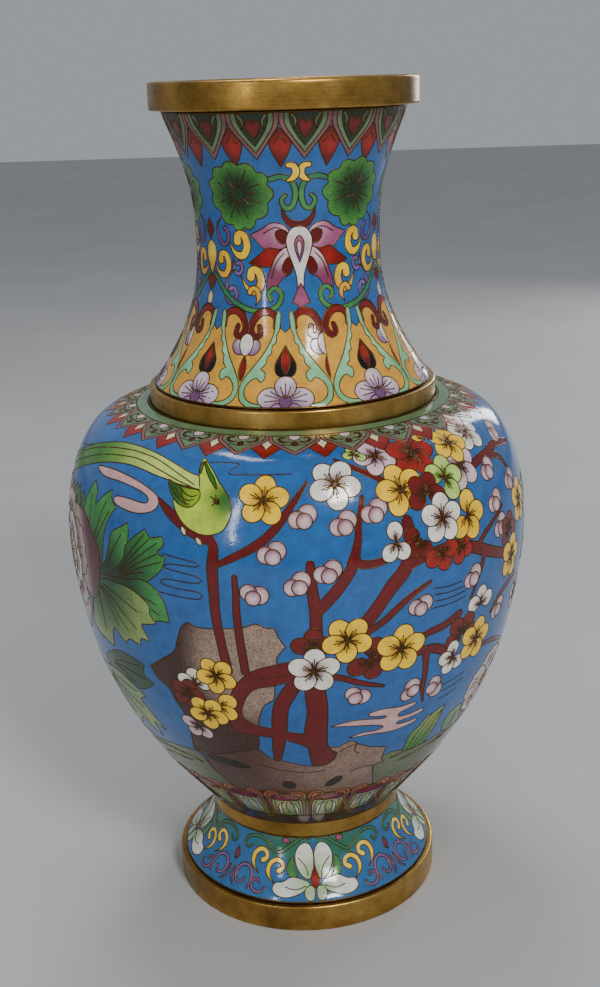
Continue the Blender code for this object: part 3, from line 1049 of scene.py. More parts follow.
def neck_half_lotus(pen, upper, lower, fill):
    """The right half of a lotus, its scrolls and the broad leaf beside it."""
    scalloped_leaf(pen)
    pen.band([(15, 24.2), (9, 23.6), (3.6, 25), (1.6, 28.4), (3.4, 31.8),
              (7.4, 32.4), (9.6, 30.2), (7.2, 28.8)], (1.5, 1.5, 1.6, 1.6, 1.5, 1.4, 1),
             Paint(LEAF, STEM, (4, 30), 1, 6))
    pen.band([(5.4, 20.4), (2.7, 20.6), (1.2, 22.4), (2.8, 24), (5.8, 24.8)],
             (1.5, 1.9, 2.2, 1.9, 0.7), Paint(PALE_YELLOW, YELLOW, (1.2, 22.4), 0.2, 2.2))
    pen.area([(5, 39, 1), (9, 36.9), (16, 36.3), (22, 38), (29.5, 39.6, 1),
              (25, 41.4), (21.5, 43.2), (14.5, 43.8), (8, 43), (6, 41)],
             Paint(hue("CE9DB2"), upper, (8, 38), 1, 5.4))
    pen.area([(6.6, 39.4), (10, 38.2), (14, 39), (12, 41.6), (8, 42)], DARK_RED)
    pen.wire([(7.5, 38.6), (14, 37.6), (21, 39.2)])
    pen.area([(6.5, 43.4, 1), (12, 43.6), (19, 43.2), (24.5, 45.2), (31, 47.4, 1),
              (24, 48.4), (15, 48.2), (8, 47), (5.6, 45.2)],
             Paint(BRIGHT_RED, DARK_RED, (18, 45.5), 0.5, 5.5))
    pen.area([(5, 44.6), (8, 43), (13.5, 45.2), (17, 48.4), (19.4, 51.6),
              (19.8, 55, 1), (14.5, 54), (10, 51.4), (6.4, 50.4)],
             Paint(hue("DDBCC6"), lower, (9, 45), 1, 5))
    pen.wire([(9, 44.6), (13.8, 47.2), (17, 51.6)])
    pen.area([(5.4, 45.8), (8.6, 46.6), (10.6, 49.2), (7.4, 50.8), (4.6, 49.4)], DARK_RED)
    pen.band([(-0.4, 37.1), (4.2, 36.7), (8, 34.8), (9.6, 32.4)], (2, 1.9, 1.2, 0.3),
             DARK_RED, group=fill)
    scroll = Paint(YELLOW, hue("DCA23C"), (33, 46), 3, 9)
    for across, down, size in ((0, 0, 2.3), (13.4, 5.6, 2), (-8.4, 9.8, 2.3)):
        curl(pen, moved([(38, 41.4), (37.4, 39.6), (33.4, 39.8), (31.6, 42.8), (34.6, 45.4),
                         (40, 44.6), (44.6, 41.2)], across, down), size, scroll)
    curl(pen, [(30, 55.4), (28.8, 54.4), (25.6, 54.8), (24.6, 57), (26.4, 59.2)],
         1.5, scroll)
    vine = Paint(hue("8A68A8"), MAUVE, (42, 52), 1, 7)
    curl(pen, [(38.5, 47.6), (36, 47.4), (35.4, 49.4), (38.6, 50.6), (41.4, 48.6),
               (41, 45.6)], 1.1, vine)
    curl(pen, [(43.4, 54.8), (41, 54.4), (38.6, 56.4), (41.4, 58.8), (45.8, 57.2),
               (46.4, 53.6), (43.8, 50.4), (39.5, 49.4)], 1.25, vine)
    curl(pen, [(46.4, 38), (44.6, 38.8), (44.6, 41.4), (48.4, 42.6), (52.2, 40.6),
               (52.6, 37), (48.6, 35)], 1.2, vine)
    pen.band([(60, 49.6), (52, 53.4), (43, 57.4), (31, 60.2), (20, 60.6),
              (13, 58.8), (11.4, 55.8), (15, 54.2), (18.8, 55.8), (17.2, 57.6)],
             (0.9, 1.3, 1.5, 1.5, 1.5, 1.4, 1.4, 1.3, 1),
             Paint(LEAF, STEM, (20, 58), 2, 9))


def neck_lotus(field, turn, upper, lower):
    """A hanging lotus with its leaves and scrolls, filling a third of the neck."""
    axis = Pen(field, turn)
    for pen in (axis, mirrored(axis)):
        neck_half_lotus(pen, upper, lower, CRESCENT_GROUP + round(turn))
    axis.both([(0, 37.4), (4.6, 38), (7.6, 40.6), (7.2, 43.6), (4.4, 47.6), (2.3, 51),
               (1.8, 55, 1)], Paint(PALE_PINK, WHITE, (0, 43), 1, 4.6))
    axis.both([(0, 39.8), (2.6, 41.4), (2.4, 44), (0, 47.4, 1)],
              Paint(PINK, MAUVE, (0, 42), 1, 2.6))
    axis.both([(0, 41.2), (1.4, 42.2), (1.2, 44), (0, 46, 1)], PALE_PINK)
    axis.both([(0, 53, 1), (1.9, 54.6, 1), (5.2, 58.6, 1), (2.6, 58.8), (1.4, 60),
               (1, 61.4), (0, 63.2, 1)], Paint(PINK, ROSE, (0, 57), 0.8, 4))
    between = Pen(field, turn + 60)
    between.both([(0, 35.4, 1), (3.6, 38.4), (0, 41.4, 1)], DARK_RED)
    between.both([(0, 41.6), (4, 43), (4.8, 46), (2, 49.4), (0, 51.4, 1)],
                 Paint(PALE_YELLOW, AMBER, (0, 44.5), 0.6, 4))
    between.both([(0, 51.4, 1), (4.2, 52), (2.6, 54.6), (0, 55.6, 1)], DARK_RED)
    between.both([(0, 55.6, 1), (2.4, 57.4), (1.6, 60), (0, 62.6, 1)],
                 Paint(CREAM, AMBER, (0, 58), 0.5, 3))


def neck_band_half(pen):
    """Half of one repeat of the amber band: tent side, ruyi head and blossom petal."""
    pen.area([(5, 61.4, 1), (7.6, 60), (12.4, 59.7), (17.2, 61.2), (20.2, 64.4, 1),
              (20.2, 89.6, 1), (0, 89.6, 1), (0, 66.6, 1), (3, 64.8)], AMBER, AMBER_GROUP)
    pen.band([(5.6, 65.2), (5, 62.6), (8, 61), (12.6, 61), (16.6, 62.8), (18.4, 65.6),
              (16.2, 68), (13.2, 67.2), (13.8, 65)], (0.8, 1.6, 1.9, 1.9, 1.9, 1.8, 1.7, 1.4),
             Paint(RED, DARK_RED, (12, 61), 1, 4))
    pen.area([(2.2, 61.6), (3.4, 60.4), (4.8, 61.6), (5.4, 64.2), (5.9, 66.8), (8.2, 70),
              (11.6, 73.6), (15.6, 77.2), (19, 80.8), (19.7, 84), (18.2, 87),
              (14.4, 88.6), (9.2, 89, 1), (9, 87.6, 1), (13.6, 87.2), (16.6, 85.6),
              (17.4, 83.2), (15.8, 81), (13, 79.8), (11.6, 80.6), (10.4, 81),
              (9, 79.6), (9.4, 77.9), (11.4, 77.2), (9, 75.6), (8.6, 73.4), (6.8, 72.8),
              (6.5, 70.4), (4.6, 69.4), (4.4, 67.2), (3, 66), (2.5, 63.6)],
             Paint(hue("98D6A4"), MINT, (8, 72), 1, 12))
    pen.disc((6.4, 85.6), 3.5, Paint(LILAC_WHITE, LILAC, (8.6, 84.6), 1.2, 4.2), 0.86, 14)
    pen.disc((3.2, 89.6), 2.5, Paint(LILAC_WHITE, LILAC, (3.6, 90.6), 0.8, 2.6), 0.9, 60)
    for tip in ((8.6, 84.6), (8.4, 86.8), (6.2, 83.6), (3.2, 89.2)):
        pen.wire([(0.8, 86.2), tip])


def neck_band(field):
    """Nine tents over plum blossoms, with a lotus bud and a ruyi head between each two."""
    pitch = 360.0 / NECK_TENTS
    for i in range(NECK_TENTS):
        tent = Pen(field, NECK_TENT_AXIS + pitch * i)
        for pen in (tent, mirrored(tent)):
            neck_band_half(pen)
        tent.both([(0, 79.2), (3, 79.8), (4.6, 82), (3.2, 84.6), (0, 85.6)],
                  Paint(LILAC_WHITE, LILAC, (0, 80.6), 1.2, 4.2))
        tent.disc((0, 86.7), 1.8, hue("6C466E"))
        for tip in ((-2.2, 82.2), (0, 81.2), (2.2, 82.2)):
            tent.wire([(0.2 * tip[0], 85.8), tip])
        tent.both([(0, 70.2, 1), (2.6, 73), (4.8, 75.6), (4.4, 78.2), (2.2, 79.4), (0, 79)],
                  Paint(DARK_RED, BLACK, (0, 70.6), 2.2, 4.2))
        tent.both([(0, 70.2, 1), (1.5, 72.8), (2, 75.4), (1, 77.8), (0, 78.9, 1)],
                  Paint(BRIGHT_RED, DARK_RED, (0, 74), 0.4, 2.6))
        lotus = Pen(field, NECK_TENT_AXIS + pitch * i + pitch / 2)
        for sign in (-1, 1):
            lotus.disc((4 * sign, 71), 2.4, Paint(LILAC_WHITE, LILAC, (sign, 69), 0.8, 3.4),
                       0.78, 90 + 30 * sign)
        lotus.both([(0, 67), (2.6, 67.8), (3.7, 70), (2.4, 72.4), (0, 73.6)],
                   Paint(WHITE, LILAC_WHITE, (0, 69.6), 0.8, 2.6))
        lotus.both([(0, 73.4, 1), (1.1, 75), (1.7, 77.2), (1.2, 79.2), (0, 81, 1)],
                   Paint(RED, DARK_RED, (0, 77), 0.3, 2.4))


def build_neck():
    """The neck's enamel: border, three lotuses and the amber band."""
    top = NECK.at_height(MOUTH_RING_BOTTOM) + RING_WIRE + GAP
    bottom = NECK.at_height(COLLAR_TOP) - RING_WIRE - GAP
    field = Field("neck_enamel", NECK, top, bottom, BLUE)
    neck_border(field)
    for i, (upper, lower) in enumerate(((PINK, ROSE), (YELLOW, PINK), (LILAC, PINK))):
        neck_lotus(field, NECK_AXIS + 120.0 * i, upper, lower)
    neck_band(field)
    field.build(5, "neck_enamel")


# ---------------------------------------------------------------- the body

BODY_TURN = 1.2
BODY_REPEATS = 22
PETAL_AXIS = 8.7
PEONY_HEART = (-76, 61)
LOW_PEONY_HEART = (61.5, 105.6)
PETAL_ORDER = (3, 2, 4, 1, 0)
GOLD = (YELLOW, hue("C08A24"))
SNOW = (WHITE, hue("94707C"))
BLUSH = (hue("DEC0C6"), hue("7C4A6C"))
LIME = (hue("BEDC70"), hue("4C8C2C"))
SCARLET = (BRIGHT_RED, DARK_RED)
CRIMSON = (hue("701712"), hue("380A0A"))
CLOUD = hue("D2A6A2")
LIGHT_BUD = hue("DEC2C2")


def shoulder_lappets(field):
    """Twenty-two pointed lappets round the shoulder, a red point between each two."""
    pitch = 360.0 / BODY_REPEATS
    for i in range(BODY_REPEATS):
        pen = Pen(field, pitch * (i + 0.5))
        pen.both([(0, 10.2, 1), (3.4, 12.6, 1), (4.3, 15.6), (0, 20.3, 1)],
                 Paint(BRIGHT_RED, RED, (0, 14), 1, 4.5))
        pen.both([(0, 12, 1), (1.7, 14, 1), (0, 16.6, 1)], CREAM)
    for i in range(BODY_REPEATS):
        pen = Pen(field, pitch * i)
        pen.both([(0, 4, 1), (8.1, 4, 1), (8.1, 11.8), (5.2, 15), (0, 19, 1)],
                 LAPPET_PINK)
        pen.both([(0, 4, 1), (6.9, 4, 1), (6.9, 11.4), (4.2, 14.2), (0, 17.7, 1)],
                 LAPPET_GREEN)
        pen.both([(0, 8.9), (1.9, 9.8), (1.5, 11.4), (0, 12.1)], PALE_PINK)
        pen.both([(0, 12.8), (1.1, 13.8), (0, 15.2, 1)], MAROON)
        for sign in (-1, 1):
            pen.band(flipped([(1.4, 12.9), (3.4, 13.2), (4.8, 11.9), (4.2, 10.4), (3, 11)],
                             sign), (0.2, 0.6, 0.7, 0.6, 0.5), MAROON)
            pen.band(flipped([(2.3, 9.6), (3.4, 8.4), (5, 8.6), (5.6, 9.8)], sign),
                     (0.2, 0.5, 0.6, 0.2), MAROON)
            pen.wire(flipped([(0.6, 14.9), (2.4, 14.4), (3.6, 14.2)], sign))


def petal_border(field):
    """Twenty-two upright petals with curled tops at the foot of the body."""
    # Dark brown ground, partly painted shade of the gap at the foot of the body.
    Pen(field).lay([(-180, 136.4), (180, 136.4), (180, 160), (-180, 160)], HEM_BROWN_AND_GAP_SHADE)
    salmon = hue("A86040")
    for i in range(BODY_REPEATS):
        pen = Pen(field, PETAL_AXIS + 360.0 / BODY_REPEATS * i)
        pen.both([(0, 137), (3, 136.2), (6, 135.2), (7.4, 137.4), (7.5, 145),
                  (7.2, 160, 1)], Paint(salmon, hue("783622"), (0, 136), 4, 14))
        pen.both([(0, 141.2), (5.2, 140.8), (6.3, 145), (6.2, 160, 1)],
                 Paint(hue("B8C090"), hue("66724A"), (0, 146), 1, 7))
        pen.both([(0, 138), (3.4, 137.6), (5.6, 138.6), (5, 141), (0, 141.8)],
                 Paint(RED, DARK_RED, (0, 139), 1, 4))
        for sign in (-1, 1):
            pen.band(flipped([(6.9, 141), (7.3, 137.6), (5.8, 135.4), (3.4, 135.4),
                              (2.4, 137), (3.6, 138)], sign),
                     (0.6, 1.1, 1.2, 1.2, 1.1, 0.8), salmon)
            pen.band(flipped([(1.4, 143), (3.2, 146), (3.8, 153)], sign),
                     (0.3, 1.1, 0.6), FOOT_WHITE)
            pen.wire(flipped([(4.6, 142.6), (5.2, 147), (5.2, 153)], sign))
        pen.wire([(0.2, 142.8), (-0.6, 147), (0.2, 152)])


def hills(pen):
    """Two grassy slopes behind the rocks."""
    for outline in (
            [(13, 142, 1), (14, 131), (18, 124), (24, 119.4), (30, 119.8), (36, 120.4),
             (47, 120), (60, 116.5), (75, 114.5), (88, 118), (98, 124), (104, 142, 1)],
            [(-18, 142, 1), (-26, 133), (-32, 126), (-35, 119), (-45, 119.4), (-56, 121.5),
             (-68, 118.6), (-80, 121), (-90, 127), (-96, 142, 1)]):
        middle = (outline[4][0], 119)
        pen.area(outline, Paint(HILL, HILL_DARK, middle, 3, 20, 0.6))
    for left, down, run, drop in ((26, 122.4, 14, -1.6), (30, 125.6, 20, -2.4),
                                  (44, 123, 16, -3), (56, 121, 18, -1),
                                  (-62, 125, 18, -2.6), (-56, 128.2, 16, -2.8),
                                  (-80, 124.4, 16, -1.8), (-44, 122.6, 9, 1.6)):
        pen.band([(left, down), (left + 0.5 * run, down + 0.5 * drop - 0.7),
                  (left + run, down + drop)], (0.2, 1.1, 0.2), PALE_LEAF)


def rocks(pen):
    """A tall rock behind the tree's foot and a bank with a peak under it."""
    pen.area([(-29, 70, 1), (-27, 68), (-25, 69), (-21.5, 69), (-18, 68.4), (-14.5, 68),
              (-11, 66.4), (-9, 67.5), (-7, 67.6, 1), (-6, 70.5), (-4.6, 73.6, 1), (-6, 75.6),
              (-6.8, 78), (-6, 82), (-7.6, 86, 1), (-8, 91), (-10.5, 93.5), (-12, 98),
              (-12.5, 101), (-13, 105), (-14, 112), (-20, 119), (-28, 120), (-35.5, 118, 1),
              (-34, 110.5), (-33, 105.5), (-33.5, 100.5), (-35, 96.5), (-36, 92.5),
              (-39, 89.5), (-40.5, 86, 1), (-36.5, 82.5), (-32, 78.5), (-30.5, 74.5)],
             Paint(ROCK, ROCK_DARK, (-9, 79), 16, 11, 0.9))
    pen.area([(-36, 116.5, 1), (-28, 117.2), (-20, 114), (-14, 112), (-11, 115.5),
              (-6.5, 117.2), (-1, 119.5), (4.5, 119.5), (7.8, 115.6), (7.6, 113.6),
              (6, 112.4), (4, 110.6, 1), (8, 111.4), (10, 110), (12, 109.4), (13.5, 111, 1),
              (16.5, 113), (23, 115.6, 1), (22.6, 120.5), (24, 123.5, 1), (21, 124),
              (21.6, 129.5), (24, 137), (23, 142, 1), (-24, 142, 1), (-29, 132), (-32, 127),
              (-33, 118.8)], Paint(hue("8E7262"), hue("522E26"), (13, 116), 8, 24, 0.8))
    pen.wire([(8.6, 113.8), (11, 112), (13.5, 111)])
    pen.wire([(13.4, 111.2), (13, 114.2), (14.6, 116)])
    pen.wire([(20.6, 124.2), (17, 123.4), (13, 125)])
    pen.wire([(-15, 119), (-9, 121.5), (-1, 123.2), (5, 122.6)])
    pen.disc((-24.6, 120.4), 6.6, BLACK, 0.27, 9)
    pen.disc((-6.6, 130.4), 2.3, BLACK, 0.8, 60)
    pen.disc((8.2, 129.5), 3.3, BLACK, 0.46, -52)


def tree(pen):
    """The old plum tree: one mass of wood, its forks and branches without inner wires."""
    wood = Paint(WOOD, grain=0.35)
    pen.area([(2, 60, 1), (0.9, 67), (0.4, 76), (-0.6, 88), (-0.2, 96), (-1, 104.5),
              (0, 112), (1, 119.4, 1), (4.5, 119.8), (7.4, 117), (7.3, 114), (5.2, 110),
              (4.9, 102), (4.8, 94), (3.8, 84), (3.6, 70)], wood, WOOD_GROUP)
    pen.area([(1.5, 79, 1), (-4, 78.4), (-7.5, 79.4), (-11.5, 81), (-14.5, 83.5),
              (-17.5, 88), (-20, 95), (-20.2, 100.5), (-18.8, 104.2), (-14.5, 105.4),
              (-8, 106.4), (-2, 109.2), (1, 112, 1), (1, 105, 1), (-5, 103.6), (-9, 102.4),
              (-13.5, 101), (-16.4, 98), (-15.4, 92.5), (-12.6, 87.8), (-8, 86.4),
              (-3, 84.6), (1.5, 84, 1)], wood, WOOD_GROUP)
    for points, widths in (
            ([(-2, 84), (-4, 88), (-6.2, 93), (-7, 98), (-7.4, 104), (-8.1, 110),
              (-8.8, 116)], (3.6, 4.2, 4.2, 4.4, 4.2, 3.6, 2.2)),
            ([(1.3, 49.6), (1.6, 57), (2.2, 64), (2.2, 76)], (2.2, 3, 3.2, 3.6)),
            ([(2.6, 63), (6.8, 57.5), (9.2, 53.5), (11.3, 49.6)], (3.2, 3.2, 3.2, 2.8)),
            ([(10.6, 50.4), (12, 44.4), (12.5, 40), (14, 33)], (3, 2, 1.5, 1.2)),
            ([(10.4, 50), (14, 51), (18, 50.4), (22, 48.2)], (2.6, 2.2, 2, 1.4)),
            ([(11, 71), (15, 65.2), (19.2, 58.4), (22.6, 54), (24, 49.4), (24.4, 44),
              (24, 41)], (4, 3.8, 3.8, 4.2, 4, 3.6, 3.2)),
            ([(22, 54), (26.5, 51.8), (32, 51), (37.5, 51.2), (43, 53.6), (50, 57.4),
              (58, 61)], (3.2, 3, 3.2, 3.4, 3.4, 3.2, 2.8)),
            ([(12, 72), (17.5, 68), (20.6, 65), (24.4, 61.8), (29, 59.2)],
             (1.8, 2, 2, 1.7, 1)),
            ([(26, 76.6), (29.5, 74.9), (33.6, 74.2), (38.5, 72)], (2, 2.2, 2.4, 2.4)),
            ([(25, 80.4), (29, 80.4), (32, 81), (36, 83.6)], (2.4, 2.8, 3, 2.6)),
            ([(29.2, 80.6), (29.8, 88), (30, 94.8), (31, 99.6)], (2.4, 1.7, 1.5, 0.5)),
            ([(46, 88), (51, 87.6), (57, 89), (65, 92.4)], (1, 1.4, 1.5, 1)),
            ([(5, 83.6), (8.5, 84.8), (12.4, 87), (18.4, 89.4)], (2, 1.8, 1.6, 0.9)),
            ([(64, 70), (58, 72), (54.4, 73.4), (51.6, 77)], (2.2, 2, 1.6, 0.8)),
            ([(46, 32), (51, 30.6), (56, 30), (63, 29), (73, 31.4)],
             (2.2, 2.6, 2.6, 2.2, 1.4)),
            ([(56.6, 30.6), (62, 33), (65.4, 39.4)], (2.2, 1.8, 0.8)),
            ([(43, 54), (47.6, 50.4), (56, 45.6)], (1.8, 1.3, 0.8)),
            ([(46.4, 57), (44.4, 62.6), (42, 68.4)], (2, 1.3, 0.9)),
            ([(9, 21.4), (12.5, 24), (17, 27), (21, 30)], (0.7, 1.4, 1.7, 1.7)),
            ([(-35, 34.4), (-31.6, 37.4), (-27.6, 40.4), (-24, 42.6), (-20.4, 44)],
             (0.8, 2.6, 2.7, 2.7, 2.4)),
            ([(-21.2, 42.8), (-20, 45.4), (-20.2, 51), (-20, 58), (-19.8, 66), (-18.4, 82)],
             (2.4, 3.2, 2.8, 2.6, 2.6, 2.8)),
            ([(-20.2, 50.8), (-16, 48.2), (-11.4, 45.2), (-8, 42.2), (-5.2, 38.6),
              (-2.8, 34.6), (1.5, 27.4)], (1.2, 1.9, 2.3, 2.3, 2, 1.5, 0.5)),
            ([(-15.2, 53.2), (-15, 58), (-15, 66), (-14.2, 82)], (1.4, 2, 2.2, 2.4))):
        pen.band(points, widths, wood, WOOD_GROUP)
    pen.wire([(-10.5, 84.3), (-8, 83.2), (-5, 82.6)])


def clouds(pen):
    """Curled mist in pale glass, and mist drawn in wire alone."""
    pen.area([(-60, 31.6), (-60.4, 30.6), (-53, 29.8), (-45, 30.4), (-39, 32), (-35.4, 34),
              (-35, 36.4), (-37, 38.4), (-41.5, 39.6), (-47, 39.2), (-49.6, 38.2),
              (-49, 36.6), (-44.5, 36.2), (-39.4, 36.4), (-38, 35.4), (-39.4, 34),
              (-43, 33), (-49, 32.4), (-56, 32.6)], CLOUD)
    pen.area([(5.5, 102.2, 1), (10, 101), (14.5, 101), (19.6, 102), (20.4, 101.2),
              (16.5, 100.4), (15.4, 99), (19, 98.2), (24, 98.8), (28.6, 98.6), (28.4, 99.8),
              (24.4, 101.2), (24.4, 102.8), (28, 102.8), (31.8, 102.2), (31.6, 103.6),
              (27.4, 104.6), (24.4, 104.8), (24.2, 105.8), (27, 106.2), (30.4, 105.8),
              (30, 107.2), (25.4, 108.2), (21.5, 108.4), (17, 107.8), (10.6, 107.9, 1),
              (14, 106.6), (18.6, 106.5), (20.2, 105.4), (17, 104), (11.5, 103)], CLOUD)
    for points in ([(-25, 22.5), (-21, 22), (-16, 22), (-16, 23), (-17.4, 24.2),
                    (-17.5, 25.5), (-12.5, 25.4), (-2, 25.2)],
                   [(-32.6, 49), (-28, 49.6), (-24, 50.2), (-23.6, 51.2), (-27, 51.4),
                    (-31, 51.6), (-32, 52.8), (-28, 53.4), (-24, 54), (-22.8, 55.2),
                    (-25, 56), (-31.5, 56), (-33.2, 57.4), (-29, 58.2), (-24, 58.4),
                    (-22.8, 59.6), (-25, 60.6), (-34.5, 60.2)]):
        pen.wire(points)
    for left, down, right, end in ((30, 61.5, 38.6, 62), (30, 63.4, 39, 63.8),
                                   (29.6, 65.4, 39.8, 65.4), (29.6, 67.4, 40, 67.2),
                                   (36, 95.5, 45, 94.4), (37, 98, 45, 96.6),
                                   (36.6, 101, 43, 99.8), (-82, 30, -70, 26.4),
                                   (-80, 33, -72, 30)):
        pen.wire([(left, down), ((left + right) / 2, (down + end) / 2 + 0.4), (right, end)])


def leaf(pen, outline, heart, veins, deep=DEEP_LEAF, light=LEAF, reach=13.0):
    """A fingered leaf, dark at its heart, its veins running out towards the tips."""
    pen.area(outline, Paint(deep, light, heart, 0.3 * reach, reach, 0.45))
    for tip in veins:
        middle = ((0.5 * heart[0] + 0.5 * tip[0]), (0.5 * heart[1] + 0.5 * tip[1]) - 0.6)
        pen.wire([(0.85 * heart[0] + 0.15 * tip[0], 0.85 * heart[1] + 0.15 * tip[1]),
                  middle, tip])


def peony_leaves(pen):
    """Six big leaves that fan out from one side of the peony."""
    leaf(pen, [(-79, 50), (-75.5, 39.4, 1), (-72, 41.5), (-68.4, 38.8, 1), (-66, 44),
               (-67, 49)], (-71, 50), [(-74.5, 42), (-69.4, 42)])
    leaf(pen, [(-64, 62), (-63.4, 47), (-62.4, 40.5), (-59.6, 34.8, 1), (-57.4, 37.5),
               (-57.2, 41), (-54, 37.6), (-51, 35.2, 1), (-50.4, 38), (-48.2, 39.6, 1),
               (-50.6, 43.4), (-52, 48), (-52.5, 55), (-54, 62)], (-58.6, 58),
         [(-59.8, 39), (-52.6, 38.8), (-50.8, 41.4)])
    leaf(pen, [(-57, 63), (-52, 57), (-50, 51.5), (-49, 47), (-46, 44.6), (-43.6, 42.8, 1),
               (-43, 45.5), (-43.4, 50), (-45, 57), (-50, 64)], (-52, 60), [(-45.4, 46.5)])
    leaf(pen, [(-57, 64), (-48.6, 58.4), (-44.5, 53), (-43.8, 49.4), (-41, 46), (-38, 43.3, 1),
               (-36.2, 45.2), (-33, 44.4, 1), (-32.4, 46.6), (-34, 49), (-31.8, 50, 1),
               (-33, 53.8), (-37, 58), (-41.5, 60.8), (-46, 62.5)], (-48, 60.5),
         [(-38, 44.6), (-36.2, 45.4), (-34.2, 46.4), (-33.8, 49.2), (-33, 51.4), (-38, 55.6)],
         reach=19.0)
    leaf(pen, [(-56, 62), (-43, 59), (-38.5, 58), (-35, 59.6), (-32.6, 63.6),
               (-31.8, 69.2, 1), (-34.4, 69.4), (-37.5, 70.4, 1), (-42, 68), (-47, 66)],
         (-47, 62), [(-35, 64.5), (-34.5, 67.6)])
    leaf(pen, [(-63, 92), (-54, 86), (-48, 85.4), (-43, 86.6, 1), (-44, 90.6), (-41, 92.6, 1),
               (-44, 95.4), (-48, 97.6, 1), (-53, 95.6), (-60, 96)], (-60, 92),
         [(-45.5, 88), (-44, 92.2), (-49.4, 95.4)], DEEP_LEAF, hue("255030"), 15)
    leaf(pen, [(-64, 80), (-58, 66), (-54.5, 62.4), (-47, 61.4), (-41.5, 62.2), (-37.4, 65.2),
               (-37.4, 68), (-35.8, 70.6, 1), (-38.4, 71.6), (-40.6, 72.6), (-38.8, 77.4, 1),
               (-41.6, 77.2), (-42.4, 79.8, 1), (-45, 79), (-46.6, 79.2), (-47.8, 81, 1),
               (-50, 79.2), (-52, 77.4), (-53.6, 81), (-54.6, 85, 1), (-58, 84),
               (-61.5, 83.4)], (-56, 63),
         [(-41, 68.6), (-42.6, 74.4), (-46, 76.2), (-49.6, 76), (-56.6, 80)],
         hue("1C5026"), PALE_LEAF, 21)
    leaf(pen, [(-74, 101), (-66, 96.4), (-57, 95), (-50.5, 97.6), (-46.8, 100, 1),
               (-50, 102.4), (-48, 106.4), (-44.6, 113, 1), (-49, 111.4), (-48.4, 117.6, 1),
               (-56, 113), (-60, 117), (-66, 119, 1), (-68.5, 112), (-71, 106)], (-68, 99),
         [(-50.4, 99.8), (-51, 106.4), (-52.4, 112.6), (-61.4, 114)],
         hue("386E38"), PALE_LEAF, 22)


def ruffled(pen, base, angle, reach, breadth, paint):
    """A broad petal from a base, its far edge waved; the angle is clockwise from up."""
    scale = pen.scale([base])
    x, y = math.sin(angle * DEGREE), -math.cos(angle * DEGREE)
    half = ((0.07, 0.02), (0.32, 0.20), (0.48, 0.50), (0.50, 0.74), (0.38, 0.84), (0.29, 0.96),
            (0.13, 0.94))
    points = []
    for across, along in half + ((0, 1),) + tuple((-a, b) for a, b in half[::-1]):
        out, aside = reach * along, breadth * across
        points.append((base[0] + (out * x - aside * y) / scale, base[1] + out * y + aside * x))
    pen.area(points, paint)
    for share in (-0.16, 0.02, 0.2):
        pen.wire([(base[0] + reach * (along * x - share * along * y) / scale,
                   base[1] + reach * (along * y + share * along * x))
                  for along in (0.50, 0.66, 0.80)])


def stamens(pen, where, radius):
    """A round heart of golden dots."""
    scale = pen.scale([where])
    for i in range(7):
        reach = radius if i else 0.0
        pen.disc((where[0] + reach * math.sin(math.tau * i / 6) / scale,
                  where[1] - reach * math.cos(math.tau * i / 6)),
                 0.5 * radius, Paint(YELLOW, AMBER, where, 0.6 * radius, radius))


def peony(pen):
    """The great peony seen side on: broad overlapping petals edged in dark crimson."""
    edge = hue("561A32")
    axis = PEONY_HEART[0]
    for sign in (-1, 1):
        petal = Paint(PEONY, edge, (axis - 4.0 * sign, 62), 19, 8, 0.5)
        for points in (
                [(-78, 70), (-72, 70), (-63, 73.6), (-66, 80), (-72, 86.6), (-75.5, 84),
                 (-77.5, 78)],
                [(-78, 50), (-73, 46), (-67.4, 44.8), (-62, 45.6), (-57, 50.6), (-54, 55.4),
                 (-54.6, 61.6), (-57.4, 69), (-62, 71.2), (-66, 66), (-72, 60)]):
            pen.area([(axis + sign * (p[0] - axis), p[1]) for p in points], petal)
    for reach, breadth, lean, covered, pale in ((19, 17, 0, 12.4, PEONY),
                                                (13.5, 12.5, 36, 7.4, PEONY_PALE),
                                                (8, 8, 8, 3, PEONY_PALE)):
        for i in PETAL_ORDER:
            ruffled(pen, PEONY_HEART, 72.0 * i + lean, reach, breadth,
                    Paint(edge, pale, PEONY_HEART, covered, 0.30 * reach, 0.3))
    stamens(pen, PEONY_HEART, 2.6)


def low_peony(pen):
    """A small pale peony between the hill and the lowest branches."""
    for i in PETAL_ORDER:
        ruffled(pen, LOW_PEONY_HEART, 72.0 * i - 78, 12.4, 12.6,
                Paint(hue("8A4A62"), hue("D2BCB4"), LOW_PEONY_HEART, 1, 8))
    stamens(pen, LOW_PEONY_HEART, 1.9)
    leaf(pen, [(47, 120), (44.2, 114.4), (46.2, 111), (50.2, 109.2, 1), (52.4, 114),
               (56, 120)], (50, 120), [(49.4, 112)], hue("386E38"), PALE_LEAF, 10)


def grass(pen):
    """The tall blade beside the bank, its folds in wire."""
    pen.area([(30, 121, 1), (30, 113.4), (32.6, 110.4), (34.4, 107.4), (37, 106.4),
              (40.4, 104.8, 1), (40.4, 110), (39.6, 115), (38, 121, 1)],
             Paint(PALE_LEAF, GREEN, (38, 107), 1, 13))
    for foot, middle, tip in ((31.4, 33, 36.4), (33, 35, 38.6), (34.6, 37, 39.8),
                              (36.2, 38.4, 40.2)):
        pen.wire([(foot, 120.6), (middle, 113.4), (tip, 106.6)])


